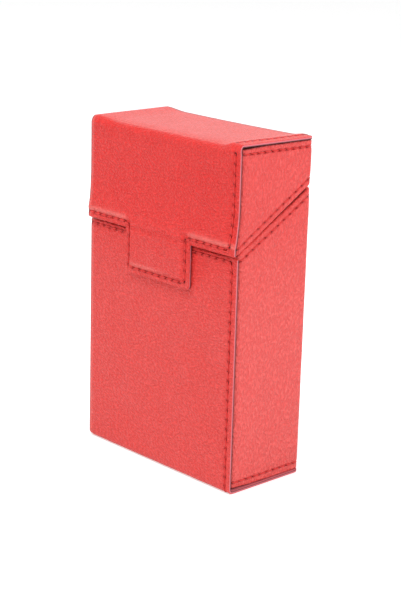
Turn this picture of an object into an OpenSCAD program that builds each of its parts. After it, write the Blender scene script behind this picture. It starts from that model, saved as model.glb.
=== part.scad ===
// Leather flip-top case for a packet of cigarettes.
// The origin is the centre of the base: +X right, +Y back, +Z up, and the front faces -Y.

/* [Case] */
// Width across the cut edges of the front and top panels
case_w = 60.6; // [52:0.1:90]
// Depth from the front face to the back face
case_d = 28; // [20:0.1:60]
// Height from the base to the top
case_h = 96; // [85:0.5:130]
// How far the side panels stand in from the cut edges of the front panels
side_inset = 0.5; // [0.2:0.1:1.5]
// Outer radius of the front leather where it folds into the top and the base
fold_r = 1.6; // [1.3:0.1:3]
// Radius of the upright corners at the back, on the sides, the base and the top
back_r = 1.3; // [1.3:0.1:2.6]
// Radius of the turned edges of the leather
edge_r = 0.55; // [0.2:0.05:0.6]

/* [Leather, board and lining] */
// Thickness of the outer leather
leather_t = 0.75; // [0.65:0.05:1.2]
// Thickness of the boards in the front, back, top and base
board_t = 0.4; // [0.3:0.05:1]
// Thickness of the boards in the two sides
side_board_t = 0.6; // [0.6:0.1:2]
// Thickness of the lining
lining_t = 0.25; // [0.2:0.05:0.6]
// Width of leather that is turned in behind the front, top and base
turn_w = 3; // [2:0.1:5]
// Width of the stitched hem that a board keeps clear of
hem_w = 2.6; // [1.5:0.1:4]
// How far the lining stops short of the mouth
lining_set = 0.8; // [0.4:0.1:2]

/* [Lid] */
// Height of the lid at the front, without the tab
lid_front_h = 29.1; // [24:0.1:40]
// Height of the lid at the back, above the hinge line
lid_back_h = 13; // [11:0.1:20]
// Seam between the lid and the body at the front
seam_gap = 0.4; // [0.2:0.05:1]
// Seam between the lid and the body at the back corners
seam_gap_back = 0.8; // [0.3:0.05:1.6]
// Height above the lower edge where the lid front starts to lean out
flare_h = 13.6; // [8:0.1:18]
// Width of the flat hem along the edges of the lid front, the tab and the body front
lip_w = 2.1; // [1.4:0.1:3]
// Width of the slope from that hem to the padded field
bevel_w = 0.9; // [0.4:0.1:2]
// How far the padded field stands above the hem
field_rise = 0.3; // [0.1:0.05:0.8]

/* [Tab and catch] */
// Width of the closing tab
tab_w = 26.5; // [18:0.5:34]
// How far the tab hangs below the lower edge of the lid
tab_h = 12.5; // [11:0.5:20]
// Radius of the tab's lower corners
tab_r = 1.3; // [0.5:0.1:2]
// Thickness of the leather on the back of the tab
backing_t = 0.25; // [0.2:0.05:0.6]
// Running gap between the tab and the body
tab_gap = 0.1; // [0.05:0.05:0.5]
// Half the height of the leather that bends at the root of the tab
root_h = 0.9; // [0.5:0.1:1.5]
// Diameter of the magnet in the tab
magnet_d = 7; // [4:0.5:8]
// Thickness of the magnet
magnet_t = 0.5; // [0.3:0.05:0.6]
// Height of the magnet's middle above the tab's lower edge
magnet_up = 5.5; // [5:0.1:5.7]
// Width of the steel plate in the body behind the magnet
plate_w = 16; // [8:0.5:24]
// Height of that plate
plate_h = 6.6; // [4:0.2:6.8]
// Clearance round the magnet and the plate in their seats
seat_gap = 0.05; // [0.02:0.01:0.15]

/* [Hinge] */
// Half the height of the leather that bends between the two stitch lines
hinge_half = 2; // [1.2:0.1:3]
// How far the middle of that leather stands out of the back
hinge_bulge = 0.2; // [0.1:0.05:0.5]
// Gap between the hinge leather and the side leather at its ends
hinge_end_gap = 0.15; // [0.05:0.05:0.5]

/* [Hidden] */
$fn = 64;
beyond = 200;
flare_steps = 8;

front_y = -case_d / 2;
back_y = case_d / 2;
side_x = case_w / 2 - side_inset;
fold_in_r = fold_r - leather_t;
rim_r = min(edge_r, 0.8 * leather_t);

// The side and back leather stands behind the front panels, on the base panel and under the top panel
wrap_front_y = front_y + leather_t;
floor_z = leather_t;
ceiling_z = case_h - leather_t;

// Thickness of the walls without their lining
wall_t = leather_t + board_t;
side_wall_t = leather_t + side_board_t;
cavity_x = side_x - side_wall_t;
window_x = side_x - turn_w;
window_y = back_y - turn_w;

// The seam runs level across the front and slants up the sides to the hinge line
seam_z = case_h - lid_front_h;
hinge_z = case_h - lid_back_h;
lip_z = seam_z + seam_gap / 2;
rim_z = seam_z - seam_gap / 2;
seam_run = back_y - wrap_front_y;
lip_slope = (hinge_z + seam_gap_back / 2 - lip_z) / seam_run;
rim_slope = (hinge_z - seam_gap_back / 2 - rim_z) / seam_run;
hinge_low_z = hinge_z - hinge_half;
hinge_high_z = hinge_z + hinge_half;
hinge_w = 2 * (side_x - max(back_r, side_wall_t) - hinge_end_gap);

// The lower front of the lid leans out, so that its tab hangs clear of the body
lean = leather_t + backing_t + tab_gap;
flare_z = lip_z + flare_h;
lip_top_z = lip_z + lip_w;
field_z = lip_top_z + bevel_w;
hem_y = front_y - lean;
lip_y = hem_y + leather_t;
tab_bottom_z = lip_z - tab_h;
root_top_z = lip_z + root_h;
root_bottom_z = lip_z - root_h;
magnet_z = tab_bottom_z + magnet_up;

front_red = [0.86, 0.2, 0.19];
side_red = [0.93, 0.34, 0.33];
board_grey = [0.62, 0.57, 0.5];
lining_grey = [0.2, 0.19, 0.2];
steel_grey = [0.72, 0.73, 0.75];

// How far the lid front has leaned out at a height: nothing at flare_z, all of it at the hem
function lean_at(z) = lean * pow(min(1, max(0, (flare_z - z) / (flare_z - lip_top_z))), 2);

// The outside of the lid front, which swells as it leans
function field_y(z) = front_y - lean_at(z) * (1 + field_rise / lean);

// Heights from the top of the lean down to low, where an outline of the lid front has its points
function lean_heights(low) = concat(
    [for (i = [0:flare_steps])
        let (z = flare_z - (flare_z - lip_top_z) * i / flare_steps)
        if (z > low) z],
    [low]);

function reversed(list) = [for (i = [len(list) - 1:-1:0]) list[i]];

// Extrudes an outline drawn as [Y, Z] across the case, centred
module across(width)
{
    rotate([90, 0, 90]) linear_extrude(height = width, center = true) children();
}

// Extrudes an outline drawn as [X, Z] from one depth to another
module backwards(from_y, to_y)
{
    translate([0, to_y, 0]) rotate([90, 0, 0]) linear_extrude(height = to_y - from_y) children();
}

// Extrudes an outline drawn as [X, Y] from one height to another
module upwards(from_z, to_z)
{
    translate([0, 0, from_z]) linear_extrude(height = to_z - from_z) children();
}

// A rectangle between two corners
module span(low, high)
{
    translate(low) square([high[0] - low[0], high[1] - low[1]]);
}

// A block between two corners
module block(low, high)
{
    translate(low) cube([high[0] - low[0], high[1] - low[1], high[2] - low[2]]);
}

// What is cut off outside a rounded corner; u and v are 1 or -1 and point at the corner
module corner_waste(corner, r, u, v)
{
    translate([corner[0] - u * r, corner[1] - v * r]) difference() {
        translate([u > 0 ? 0 : -2 * r, v > 0 ? 0 : -2 * r]) square(2 * r);
        circle(r);
    }
}

// What fills an inner corner up to a radius; u and v are 1 or -1 and point at the corner
module corner_fill(corner, r, u, v)
{
    translate([corner[0] - u * r, corner[1] - v * r]) difference() {
        translate([u > 0 ? 0 : -r, v > 0 ? 0 : -r]) square(r);
        circle(r);
    }
}

// Side view of the body, with a distance kept from its front, back, base and mouth
module body_side(front, back, base, mouth)
{
    front_edge = wrap_front_y + front;
    back_edge = back_y - back;
    polygon([
        [front_edge, base],
        [back_edge, base],
        [back_edge, rim_z - mouth + rim_slope * (back_edge - wrap_front_y)],
        [front_edge, rim_z - mouth + rim_slope * front]
    ]);
}

// Side view of the lid, with a distance kept from its front, back and mouth, up to a height
module lid_side(front, back, top, mouth)
{
    front_edge = wrap_front_y + front;
    back_edge = back_y - back;
    low = lip_z + mouth;
    polygon(concat(
        [[front_edge, top]],
        [for (z = lean_heights(low)) [front_edge - lean_at(z), z]],
        [
            [front_edge, low + lip_slope * front],
            [back_edge, low + lip_slope * (back_edge - wrap_front_y)],
            [back_edge, top]
        ]));
}

// A board's outline in the left and right walls, and where those walls hold it
module side_board(side)
{
    translate([side * (cavity_x + side_board_t / 2), 0, 0]) across(side_board_t) children();
}

module body_side_board_outline()
{
    body_side(hem_w, hem_w, floor_z + hem_w, hem_w);
}

module lid_side_board_outline()
{
    lid_side(hem_w, hem_w, ceiling_z - hem_w, hem_w);
}

// What the rounded back corners of the base and the top leave out
module back_corners_waste()
{
    upwards(-beyond, beyond) for (u = [-1, 1]) corner_waste([u * case_w / 2, back_y], back_r, u, 1);
}

// The gap in both back walls that the hinge leather spans
module hinge_notch()
{
    block([-hinge_w / 2 - hinge_end_gap, window_y, hinge_low_z],
        [hinge_w / 2 + hinge_end_gap, back_y + back_r, hinge_high_z]);
}

// Where the side leather isn't turned in, so that the front and the base or top boards lie bare
module turned_window()
{
    block([-window_x, front_y - beyond, 0], [window_x, window_y, case_h]);
}

// Front and base of the body, cut from one strip of leather and folded at the foot
module body_front_panel()
{
    color(front_red) union() {
        difference() {
            across(case_w) difference() {
                union() {
                    span([front_y, 0], [back_y, floor_z]);
                    span([front_y, 0], [wrap_front_y, rim_z]);
                    corner_fill([wrap_front_y, floor_z], fold_in_r, -1, -1);
                }
                corner_waste([front_y, 0], fold_r, -1, -1);
                corner_waste([front_y, rim_z], rim_r, -1, 1);
            }
            back_corners_waste();
        }
        // The hem turned in behind the rim, between the turned edges of the sides
        block([-window_x, wrap_front_y, rim_z - lip_w], [window_x, wrap_front_y + board_t, rim_z]);
    }
}

// Left, back and right of the body in one strip, its edges turned in behind the front and over the base
module body_wrap()
{
    color(side_red) difference() {
        intersection() {
            upwards(floor_z, case_h) difference() {
                span([-side_x, wrap_front_y], [side_x, back_y]);
                for (u = [-1, 1]) {
                    corner_waste([u * side_x, wrap_front_y], edge_r, u, -1);
                    corner_waste([u * side_x, back_y], back_r, u, 1);
                }
            }
            across(case_w) difference() {
                body_side(0, 0, floor_z, 0);
                corner_waste([wrap_front_y, floor_z], fold_in_r, -1, -1);
                corner_waste([back_y, floor_z], edge_r, 1, -1);
            }
            backwards(front_y, back_y) difference() {
                span([-side_x, floor_z], [side_x, case_h]);
                for (u = [-1, 1]) corner_waste([u * side_x, floor_z], edge_r, u, -1);
            }
        }
        across(2 * cavity_x) body_side(board_t, wall_t, floor_z + board_t, -beyond);
        turned_window();
        for (side = [-1, 1]) side_board(side) body_side_board_outline();
        body_back_board();
        hinge_notch();
    }
}

module body_front_board()
{
    color(board_grey) difference() {
        block([-window_x, wrap_front_y, fold_r], [window_x, wrap_front_y + board_t, rim_z - lip_w]);
        strike_seat(seat_gap);
    }
}

// Window of the front board behind the magnet, with a gap round the plate
module strike_seat(gap)
{
    block([-plate_w / 2 - gap, wrap_front_y, magnet_z - plate_h / 2 - gap],
        [plate_w / 2 + gap, wrap_front_y + board_t, magnet_z + plate_h / 2 + gap]);
}

// Steel plate that the tab's magnet holds on to
module body_strike_plate()
{
    color(steel_grey) strike_seat(0);
}

module body_base_board()
{
    color(board_grey)
        block([-window_x, front_y + fold_r, floor_z], [window_x, window_y, floor_z + board_t]);
}

module body_back_board()
{
    color(board_grey)
        block([hem_w - side_x, back_y - wall_t, floor_z + hem_w],
            [side_x - hem_w, back_y - leather_t, hinge_low_z - hem_w]);
}

module body_left_board()
{
    color(board_grey) side_board(-1) body_side_board_outline();
}

module body_right_board()
{
    color(board_grey) side_board(1) body_side_board_outline();
}

// Sleeve with a floor, open at the slanted mouth
module body_lining()
{
    color(lining_grey) difference() {
        across(2 * cavity_x) intersection() {
            body_side(board_t, wall_t, floor_z + board_t, lining_set);
            span([front_y, 0], [back_y, hinge_low_z]);
        }
        across(2 * (cavity_x - lining_t))
            body_side(board_t + lining_t, wall_t + lining_t, floor_z + board_t + lining_t, -beyond);
    }
}

// Middle of the lid front from the lean down to the tab's lower edge: the padded field without its hem
module padded_stem()
{
    half = tab_w / 2 - lip_w;
    low = tab_bottom_z + lip_w;
    intersection() {
        across(tab_w) polygon(concat(
            [for (z = lean_heights(lip_top_z)) [field_y(z), z]],
            [[hem_y - field_rise, low + bevel_w], [hem_y, low], [lip_y, low]],
            reversed([for (z = lean_heights(lip_top_z)) [wrap_front_y - lean_at(z), z]])));
        upwards(low, case_h) polygon([
            [-half, front_y + case_d], [-half, hem_y], [bevel_w - half, hem_y - field_rise],
            [half - bevel_w, hem_y - field_rise], [half, hem_y], [half, front_y + case_d]
        ]);
    }
}

// Flat leather of the tab's outline, between two depths and two heights
module tab_plate(from_y, to_y, from_z, to_z)
{
    backwards(from_y, to_y) difference() {
        span([-tab_w / 2, from_z], [tab_w / 2, to_z]);
        for (u = [-1, 1]) corner_waste([u * tab_w / 2, tab_bottom_z], tab_r, u, -1);
    }
}

// Front and top of the lid, cut from one strip of leather and folded over the top
module lid_front_panel()
{
    color(front_red) difference() {
        union() {
            across(case_w) difference() {
                union() {
                    span([front_y, ceiling_z], [back_y, case_h]);
                    span([front_y, flare_z], [wrap_front_y, case_h]);
                    corner_fill([wrap_front_y, ceiling_z], fold_in_r, -1, 1);
                    polygon(concat(
                        [for (z = lean_heights(field_z)) [field_y(z), z]],
                        [[hem_y, lip_top_z], [hem_y, lip_z], [lip_y, lip_z]],
                        reversed([for (z = lean_heights(lip_top_z)) [wrap_front_y - lean_at(z), z]])));
                }
                corner_waste([front_y, case_h], fold_r, -1, 1);
            }
            // The hem turned in behind the lower edge, between the turned edges of the sides
            block([-window_x, lip_y, lip_z], [window_x, lip_y + board_t, lip_top_z]);
            padded_stem();
        }
        block([-tab_w / 2, front_y - case_d, 0], [tab_w / 2, lip_y, root_top_z]);
        back_corners_waste();
    }
}

// Left, back and right of the lid in one strip, its edges turned in behind the front and under the top
module lid_wrap()
{
    color(side_red) difference() {
        intersection() {
            upwards(lip_z, ceiling_z) difference() {
                span([-side_x, front_y - case_d], [side_x, back_y]);
                for (u = [-1, 1]) corner_waste([u * side_x, back_y], back_r, u, 1);
            }
            across(case_w) difference() {
                lid_side(0, 0, ceiling_z, 0);
                corner_waste([wrap_front_y, ceiling_z], fold_in_r, -1, 1);
                corner_waste([back_y, ceiling_z], edge_r, 1, 1);
            }
            backwards(front_y - case_d, back_y) difference() {
                span([-side_x, 0], [side_x, ceiling_z]);
                for (u = [-1, 1]) corner_waste([u * side_x, ceiling_z], edge_r, u, 1);
            }
        }
        across(2 * cavity_x) lid_side(board_t, wall_t, ceiling_z - board_t, -beyond);
        turned_window();
        for (side = [-1, 1]) side_board(side) lid_side_board_outline();
        lid_back_board();
        hinge_notch();
    }
}

// Board behind the upright and the leaning part of the lid front
module lid_front_board()
{
    color(board_grey) across(2 * window_x)
        polygon(concat(
            [[wrap_front_y, case_h - fold_r]],
            [for (z = lean_heights(lip_top_z)) [wrap_front_y - lean_at(z), z]],
            reversed([for (z = lean_heights(lip_top_z)) [wrap_front_y + board_t - lean_at(z), z]]),
            [[wrap_front_y + board_t, case_h - fold_r]]));
}

module lid_top_board()
{
    color(board_grey)
        block([-window_x, front_y + fold_r, ceiling_z - board_t], [window_x, window_y, ceiling_z]);
}

module lid_back_board()
{
    color(board_grey)
        block([hem_w - side_x, back_y - wall_t, hinge_high_z + hem_w],
            [side_x - hem_w, back_y - leather_t, ceiling_z - hem_w]);
}

module lid_left_board()
{
    color(board_grey) side_board(-1) lid_side_board_outline();
}

module lid_right_board()
{
    color(board_grey) side_board(1) lid_side_board_outline();
}

// Sleeve with a ceiling, open at the slanted mouth
module lid_lining()
{
    inner_back = back_y - wall_t - lining_t;
    color(lining_grey) difference() {
        across(2 * cavity_x) lid_side(board_t, wall_t, ceiling_z - board_t, lining_set);
        across(2 * (cavity_x - lining_t))
            lid_side(board_t + lining_t, wall_t + lining_t, ceiling_z - board_t - lining_t, -beyond);
        block([-case_w, inner_back, 0], [case_w, back_y, hinge_high_z]);
    }
}

// Leather that bends between the two stitch lines across the back
module hinge_leather()
{
    bulge_r = (pow(hinge_half, 2) + pow(hinge_bulge, 2)) / (2 * hinge_bulge);
    color(side_red) across(hinge_w) union() {
        span([back_y - leather_t, hinge_low_z], [back_y, hinge_high_z]);
        intersection() {
            translate([back_y + hinge_bulge - bulge_r, hinge_z]) circle(bulge_r);
            span([back_y - leather_t, hinge_low_z], [back_y + 2 * hinge_bulge, hinge_high_z]);
        }
    }
}

module hinge_lining()
{
    color(lining_grey)
        block([-hinge_w / 2, back_y - leather_t - lining_t, hinge_low_z],
            [hinge_w / 2, back_y - leather_t, hinge_high_z]);
}

// The tab's leather, with a seat for the magnet in its back
module tab_leather()
{
    color(front_red) difference() {
        union() {
            tab_plate(hem_y, lip_y, tab_bottom_z, root_bottom_z);
            padded_stem();
        }
        block([-tab_w, front_y - case_d, root_bottom_z], [tab_w, back_y, case_h]);
        magnet_disc(magnet_d / 2 + seat_gap);
    }
}

module magnet_disc(r)
{
    translate([0, lip_y, magnet_z]) rotate([90, 0, 0]) cylinder(r = r, h = magnet_t);
}

module tab_magnet()
{
    color(steel_grey) magnet_disc(magnet_d / 2);
}

module tab_backing()
{
    color(front_red) tab_plate(lip_y, lip_y + backing_t, tab_bottom_z, root_bottom_z);
}

// Leather that bends where the tab joins the lid
module tab_root()
{
    color(front_red) intersection() {
        union() {
            tab_plate(hem_y, lip_y, root_bottom_z, root_top_z);
            padded_stem();
        }
        block([-tab_w / 2, front_y - case_d, root_bottom_z], [tab_w / 2, lip_y, root_top_z]);
    }
}

body_front_panel();
body_wrap();
body_front_board();
body_base_board();
body_back_board();
body_left_board();
body_right_board();
body_strike_plate();
body_lining();
lid_front_panel();
lid_wrap();
lid_front_board();
lid_top_board();
lid_back_board();
lid_left_board();
lid_right_board();
lid_lining();
hinge_leather();
hinge_lining();
tab_leather();
tab_backing();
tab_magnet();
tab_root();
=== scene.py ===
# %% [markdown]
# # A red leather flip-top case
# The case is one hard box for a packet of cigarettes, with a slanted lid on a leather hinge and a tab on the front.
# The plain solids were built first and come in as a fixed frame. This lesson dresses them: every strip of leather
# is made again as a thin, stitched sheet that lies where its solid lies, so that it still moves with its body.

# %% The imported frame
import math

import bmesh
import bpy
import numpy as np
from mathutils import Matrix, Vector


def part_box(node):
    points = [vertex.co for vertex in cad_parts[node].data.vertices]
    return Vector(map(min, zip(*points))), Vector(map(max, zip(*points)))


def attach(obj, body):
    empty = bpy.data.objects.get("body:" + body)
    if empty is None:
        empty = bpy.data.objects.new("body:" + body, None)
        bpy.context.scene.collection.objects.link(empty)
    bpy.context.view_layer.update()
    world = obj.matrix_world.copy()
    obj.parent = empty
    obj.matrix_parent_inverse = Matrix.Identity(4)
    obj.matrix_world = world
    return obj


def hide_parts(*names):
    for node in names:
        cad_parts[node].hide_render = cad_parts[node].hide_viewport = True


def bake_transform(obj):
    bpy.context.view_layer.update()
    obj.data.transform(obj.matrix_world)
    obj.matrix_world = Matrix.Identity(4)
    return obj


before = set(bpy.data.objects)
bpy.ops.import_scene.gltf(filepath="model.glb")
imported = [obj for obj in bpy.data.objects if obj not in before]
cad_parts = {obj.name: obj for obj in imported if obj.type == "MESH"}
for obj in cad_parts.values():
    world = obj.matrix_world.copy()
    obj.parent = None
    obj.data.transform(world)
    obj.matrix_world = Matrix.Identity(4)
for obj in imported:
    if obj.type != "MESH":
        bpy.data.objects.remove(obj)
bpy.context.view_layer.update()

# %% [markdown]
# ## The camera
# A camera is easiest to place when its numbers come from the object itself. The corners of the case give the angle
# it is seen from, how far away the camera stands and how long its lens is. Blender counts the lens in millimetres
# on a sensor of 36 mm, so a focal length in pixels is turned into one of those.

# %% The camera
MM = 0.001
PICTURE_HEIGHT, FOCAL_PIXELS = 601, 1576.8
SENSOR = 36.0
azimuth, elevation, roll = (math.radians(angle) for angle in (46.55, 15.96, 1.64))
DISTANCE, ASIDE, RAISED, AIM_HEIGHT = 448.4, 1.44, -1.77, 48.0
NEAREST, FURTHEST = 0.01, 20

towards = Vector((math.sin(azimuth) * math.cos(elevation), -math.cos(azimuth) * math.cos(elevation),
                  math.sin(elevation)))
level_right = Vector((math.cos(azimuth), math.sin(azimuth), 0))
upright = towards.cross(level_right)
right = level_right * math.cos(roll) + upright * math.sin(roll)
up = upright * math.cos(roll) - level_right * math.sin(roll)

camera_data = bpy.data.cameras.new("view")
camera_data.sensor_width = SENSOR
camera_data.lens = FOCAL_PIXELS * SENSOR / PICTURE_HEIGHT
camera_data.clip_start, camera_data.clip_end = NEAREST, FURTHEST
camera = bpy.data.objects.new("view", camera_data)
camera.rotation_mode = "QUATERNION"
camera.rotation_quaternion = Matrix([(right[i], up[i], towards[i]) for i in range(3)]).to_quaternion()
camera.location = (towards * DISTANCE + right * ASIDE + up * RAISED + Vector((0, 0, AIM_HEIGHT))) * MM
bpy.context.scene.collection.objects.link(camera)
bpy.context.scene.camera = camera
bpy.context.scene.view_settings.view_transform = "Standard"
print("lens", round(camera_data.lens, 1), "mm, camera at", [round(c, 3) for c in camera.location])

# %% [markdown]
# ## The sizes
# These are the lengths of the solids, in millimetres, under the names that their source uses. A dressed piece that
# repeats them can be laid on its solid without any fitting. The boxes of a few solids are printed next to them, as
# a check that both still agree.

# %% The sizes
CASE_W, CASE_D, CASE_H = 60.6, 28.0, 96.0
LEATHER, BOARD, SIDE_BOARD, LINING, BACKING = 0.75, 0.4, 0.6, 0.25, 0.25
FOLD_R, BACK_R, EDGE_R, HEM_W, TURN_W = 1.6, 1.3, 0.55, 2.6, 3.0
FRONT_Y, BACK_Y = -CASE_D / 2, CASE_D / 2
HALF_W, SIDE_X = CASE_W / 2, CASE_W / 2 - 0.5
WRAP_FRONT_Y = FRONT_Y + LEATHER
FLOOR_Z, CEILING_Z = LEATHER, CASE_H - LEATHER
WALL, SIDE_WALL = LEATHER + BOARD, LEATHER + SIDE_BOARD
CAVITY_X, WINDOW_X, NOTCH_X = SIDE_X - SIDE_WALL, SIDE_X - TURN_W, SIDE_X - BACK_R
LIP_Z, RIM_Z, HINGE_LOW_Z, HINGE_HIGH_Z = 67.1, 66.7, 81.0, 85.0
LIP_BACK_Z, RIM_BACK_Z = 83.4, 82.6
LIP_SLOPE = (LIP_BACK_Z - LIP_Z) / (BACK_Y - WRAP_FRONT_Y)
RIM_SLOPE = (RIM_BACK_Z - RIM_Z) / (BACK_Y - WRAP_FRONT_Y)
LEAN, FLARE_Z, LIP_TOP_Z, FIELD_RISE, BEVEL_W = 1.1, 80.7, 69.2, 0.3, 0.9
HEM_Y = FRONT_Y - LEAN
LIP_Y = HEM_Y + LEATHER
TAB_X, TAB_BOTTOM_Z, TAB_R = 13.25, 54.6, 1.3
ROOT_TOP_Z, ROOT_BOTTOM_Z = 68.0, 66.2
for solid in ("body_front_panel", "lid_wrap", "tab_leather"):
    low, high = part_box(solid)
    print(solid, [round(c / MM, 2) for c in low], [round(c / MM, 2) for c in high])

# %% [markdown]
# ## Seams
# A seam is a line of holes at an even pitch, with a thread that dives into each of them. It is drawn as a
# polyline on the flat leather, before the leather is folded, as a maker pricks it out. One small class answers the
# two questions that everything else asks: how far is a point from the seam, and where is the next hole. The fronts
# are pricked with round holes, the sides with long slits, in which the thread lies deeper.

# %% Seams
STITCH, SIDE_STITCH = 2.75, 2.65
# How much a hole is drawn out along the seam, how steeply thread dives into it, how deep thread lies, its radius
ROUND_HOLES, SLITS, WIDE_HOLES = (0.55, 6, 0, 0.33), (0.3, 2.4, 0.08, 0.28), (0.8, 2.4, 0.08, 0.5)


class Seam:
    def __init__(self, points, pitch=STITCH, holes=ROUND_HOLES):
        self.points = np.array(points, float)
        self.squeeze, self.dive, self.sunk, self.hole_r = holes
        self.runs = np.diff(self.points, axis=0)
        self.lengths = np.linalg.norm(self.runs, axis=1)
        self.starts = np.concatenate([[0], np.cumsum(self.lengths)])
        self.stitches = max(1, round(self.starts[-1] / pitch))
        self.pitch = self.starts[-1] / self.stitches

    def measure(self, uv):
        """Length along the seam of its nearest point, and the distance to it."""
        along, nearest = np.zeros(len(uv)), np.full(len(uv), np.inf)
        for start, run, length, before in zip(self.points, self.runs, self.lengths, self.starts):
            t = np.clip((uv - start) @ run / length ** 2, 0, 1)
            away = np.linalg.norm(uv - start - t[:, None] * run, axis=1)
            closer = away < nearest
            along[closer], nearest[closer] = (before + t * length)[closer], away[closer]
        return along, nearest

    def at(self, along):
        i = min(max(np.searchsorted(self.starts, along, "right") - 1, 0), len(self.runs) - 1)
        return self.points[i] + self.runs[i] * (along - self.starts[i]) / self.lengths[i]


LINE_W, LINE_DEPTH, DIP_W, DIP_DEPTH = 0.36, 0.02, 1.0, 0.06
# HOLE_DARKNESS sets the mask with which shade is painted into the needle holes
HOLE_DEPTH, HOLE_DARKNESS = 0.42, 1.5


def seam_depth(uv, seams):
    """How far the leather is pressed in by its seams, and the masks of the pressed line and of the holes."""
    depth, pressed, holes = np.zeros(len(uv)), np.zeros(len(uv)), np.zeros(len(uv))
    for seam in seams:
        along, away = seam.measure(uv)
        to_hole = along - np.round(along / seam.pitch) * seam.pitch
        hole = np.exp(-((to_hole * seam.squeeze) ** 2 + away ** 2) / seam.hole_r ** 2)
        line = np.exp(-(away / LINE_W) ** 2)
        depth += LINE_DEPTH * line + DIP_DEPTH * np.exp(-(away / DIP_W) ** 2) + HOLE_DEPTH * hole
        pressed, holes = np.maximum(pressed, line), np.maximum(holes, np.minimum(HOLE_DARKNESS * hole, 1))
    return depth, pressed, holes


print("a stitch is", STITCH, "mm in front and", SIDE_STITCH, "mm at the sides")

# %% [markdown]
# ## Numbers for a pattern
# A real strip is never quite even: it drops at its edges, swells between its seams and ripples a little on the glue.
# Each of these is a height over the flat pattern. It could be sculpted by hand, but numbers can be changed later, so
# nearly all of it is put together from one soft step, which rises from 0 to 1 over a width, both in millimetres. A
# sum of such steps is easy to read, and it has no corner that would catch the light.

# %% Numbers for a pattern
RIPPLE = 0.022


def steps(start, end, size):
    """Evenly spaced numbers from start to end, about size apart."""
    return list(np.linspace(start, end, max(1, round(abs(end - start) / size)) + 1))


def ordered(*groups):
    """All the numbers of some lists once, from low to high."""
    return sorted({round(float(number), 5) for group in groups for number in group})


def mirrored(numbers):
    return ordered(numbers, [-number for number in numbers])


def rise(value, start, width):
    """0 up to start, then a soft step to 1 over a width."""
    t = np.clip((value - start) / width, 0, 1)
    return t * t * (3 - 2 * t)


def fall(value, start, width):
    """1 up to start, then a soft step to 0 over a width."""
    return 1 - rise(value, start, width)


def round_off(away, radius, depth=None):
    """How far a rounded edge has dropped at a distance from the outline."""
    t = np.clip(1 - away / radius, 0, 1)
    return (radius if depth is None else depth) * (1 - np.sqrt(1 - t * t))


def inside_outline(u, left, half_width, radius):
    """Distance from the outline of a strip whose two corners at its end are round. left is how far its end is."""
    out = np.stack([np.abs(u) - (half_width - radius), radius - left], 1)
    return radius - np.linalg.norm(np.maximum(out, 0), axis=1) - np.minimum(out.max(1), 0)


def ripple(uv):
    """The slight unevenness of leather that is glued over board."""
    u, v = uv.T
    return RIPPLE * (np.sin(0.31 * u + 1.7 * np.sin(0.11 * v + 0.4)) * np.sin(0.23 * v + 1.2 * np.sin(0.17 * u))
                     + 0.5 * np.sin(0.83 * u - 0.47 * v + 2.0 * np.sin(0.29 * v)))


print("ten steps of a fold:", [round(s, 2) for s in steps(0, FOLD_R, 0.2)])

# %% [markdown]
# ## A sheet of leather from a flat pattern
# All strips are made the same way. A grid of faces is laid on the flat pattern, with its lines closer together
# where the leather bends. Faces near a seam are cut in half again and again, so that even a needle hole is real
# shape and not only a picture of one. A coarser copy of the grid becomes the inner side, and a narrow skirt joins
# both round the outline, which gives a closed solid with the thickness of leather.

# %% The flat pattern
def pattern(columns, rows_at, kept=lambda u, v: True):
    """A flat grid as a bmesh. rows_at(u) gives the rows of a column, and kept(u, v) says which faces are made."""
    flat = bmesh.new()
    table = [[flat.verts.new((u, v, 0)) for v in rows_at(u)] for u in columns]
    for left_row, right_row in zip(table, table[1:]):
        for a, b, c, d in zip(left_row, right_row, right_row[1:], left_row[1:]):
            middle = (a.co + b.co + c.co + d.co) / 4
            if kept(middle.x, middle.y):
                flat.faces.new((a, b, c, d))
    for vert in [v for v in flat.verts if not v.link_faces]:
        flat.verts.remove(vert)
    return flat


def round_corners(flat, half_width, end, way, left_radius, right_radius):
    """Pulls the points in both corner squares at the end of a strip onto quarter discs."""
    for vert in flat.verts:
        u, v = vert.co.xy
        radius = left_radius if u < 0 else right_radius
        local = np.array([abs(u) - (half_width - radius), way * (v - end) + radius]) / radius
        if (local > 0).all():
            pulled = local * local.max() / max(np.linalg.norm(local), 1e-9) * radius
            vert.co.xy = (math.copysign(half_width - radius + pulled[0], u), end + way * (pulled[1] - radius))
    return flat


def refine(flat, seams, reaches=(1.9, 1.25, 0.8)):
    """Halves the faces near the seams, more often the nearer they are. The outline stays as it is."""
    for reach in reaches:
        faces = list(flat.faces)
        centres = np.array([f.calc_center_median()[:2] for f in faces])
        away = np.min([seam.measure(centres)[1] for seam in seams], axis=0)
        edges = {e for f, near in zip(faces, away < reach) if near for e in f.edges if not e.is_boundary}
        bmesh.ops.subdivide_edges(flat, edges=list(edges), cuts=1, use_grid_fill=True)


def flat_arrays(flat):
    flat.verts.ensure_lookup_table()
    flat.verts.index_update()
    return np.array([v.co[:2] for v in flat.verts]), [[v.index for v in f.verts] for f in flat.faces]


# %% The sheet maker
UV_SCALE = 0.01
EDGE_ROWS = 3
SHARP = math.radians(38)
FACE_SIDE, FLESH_SIDE = 0, 1


def crisp_folds(mesh):
    """Turns all faces outwards, and keeps every fold crisp that is sharper than SHARP."""
    bmesh.ops.recalc_face_normals(mesh, faces=mesh.faces)
    for edge in mesh.edges:
        if len(edge.link_faces) == 2 and edge.calc_face_angle() > SHARP:
            edge.smooth = False


def new_object(name, mesh):
    """Hands a bmesh over to a new object in the scene."""
    data = bpy.data.meshes.new(name)
    mesh.to_mesh(data)
    mesh.free()
    made = bpy.data.objects.new(name, data)
    bpy.context.scene.collection.objects.link(made)
    print(name, len(data.polygons), "faces")
    return made


def nowhere(uv):
    return np.zeros(len(uv))


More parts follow.
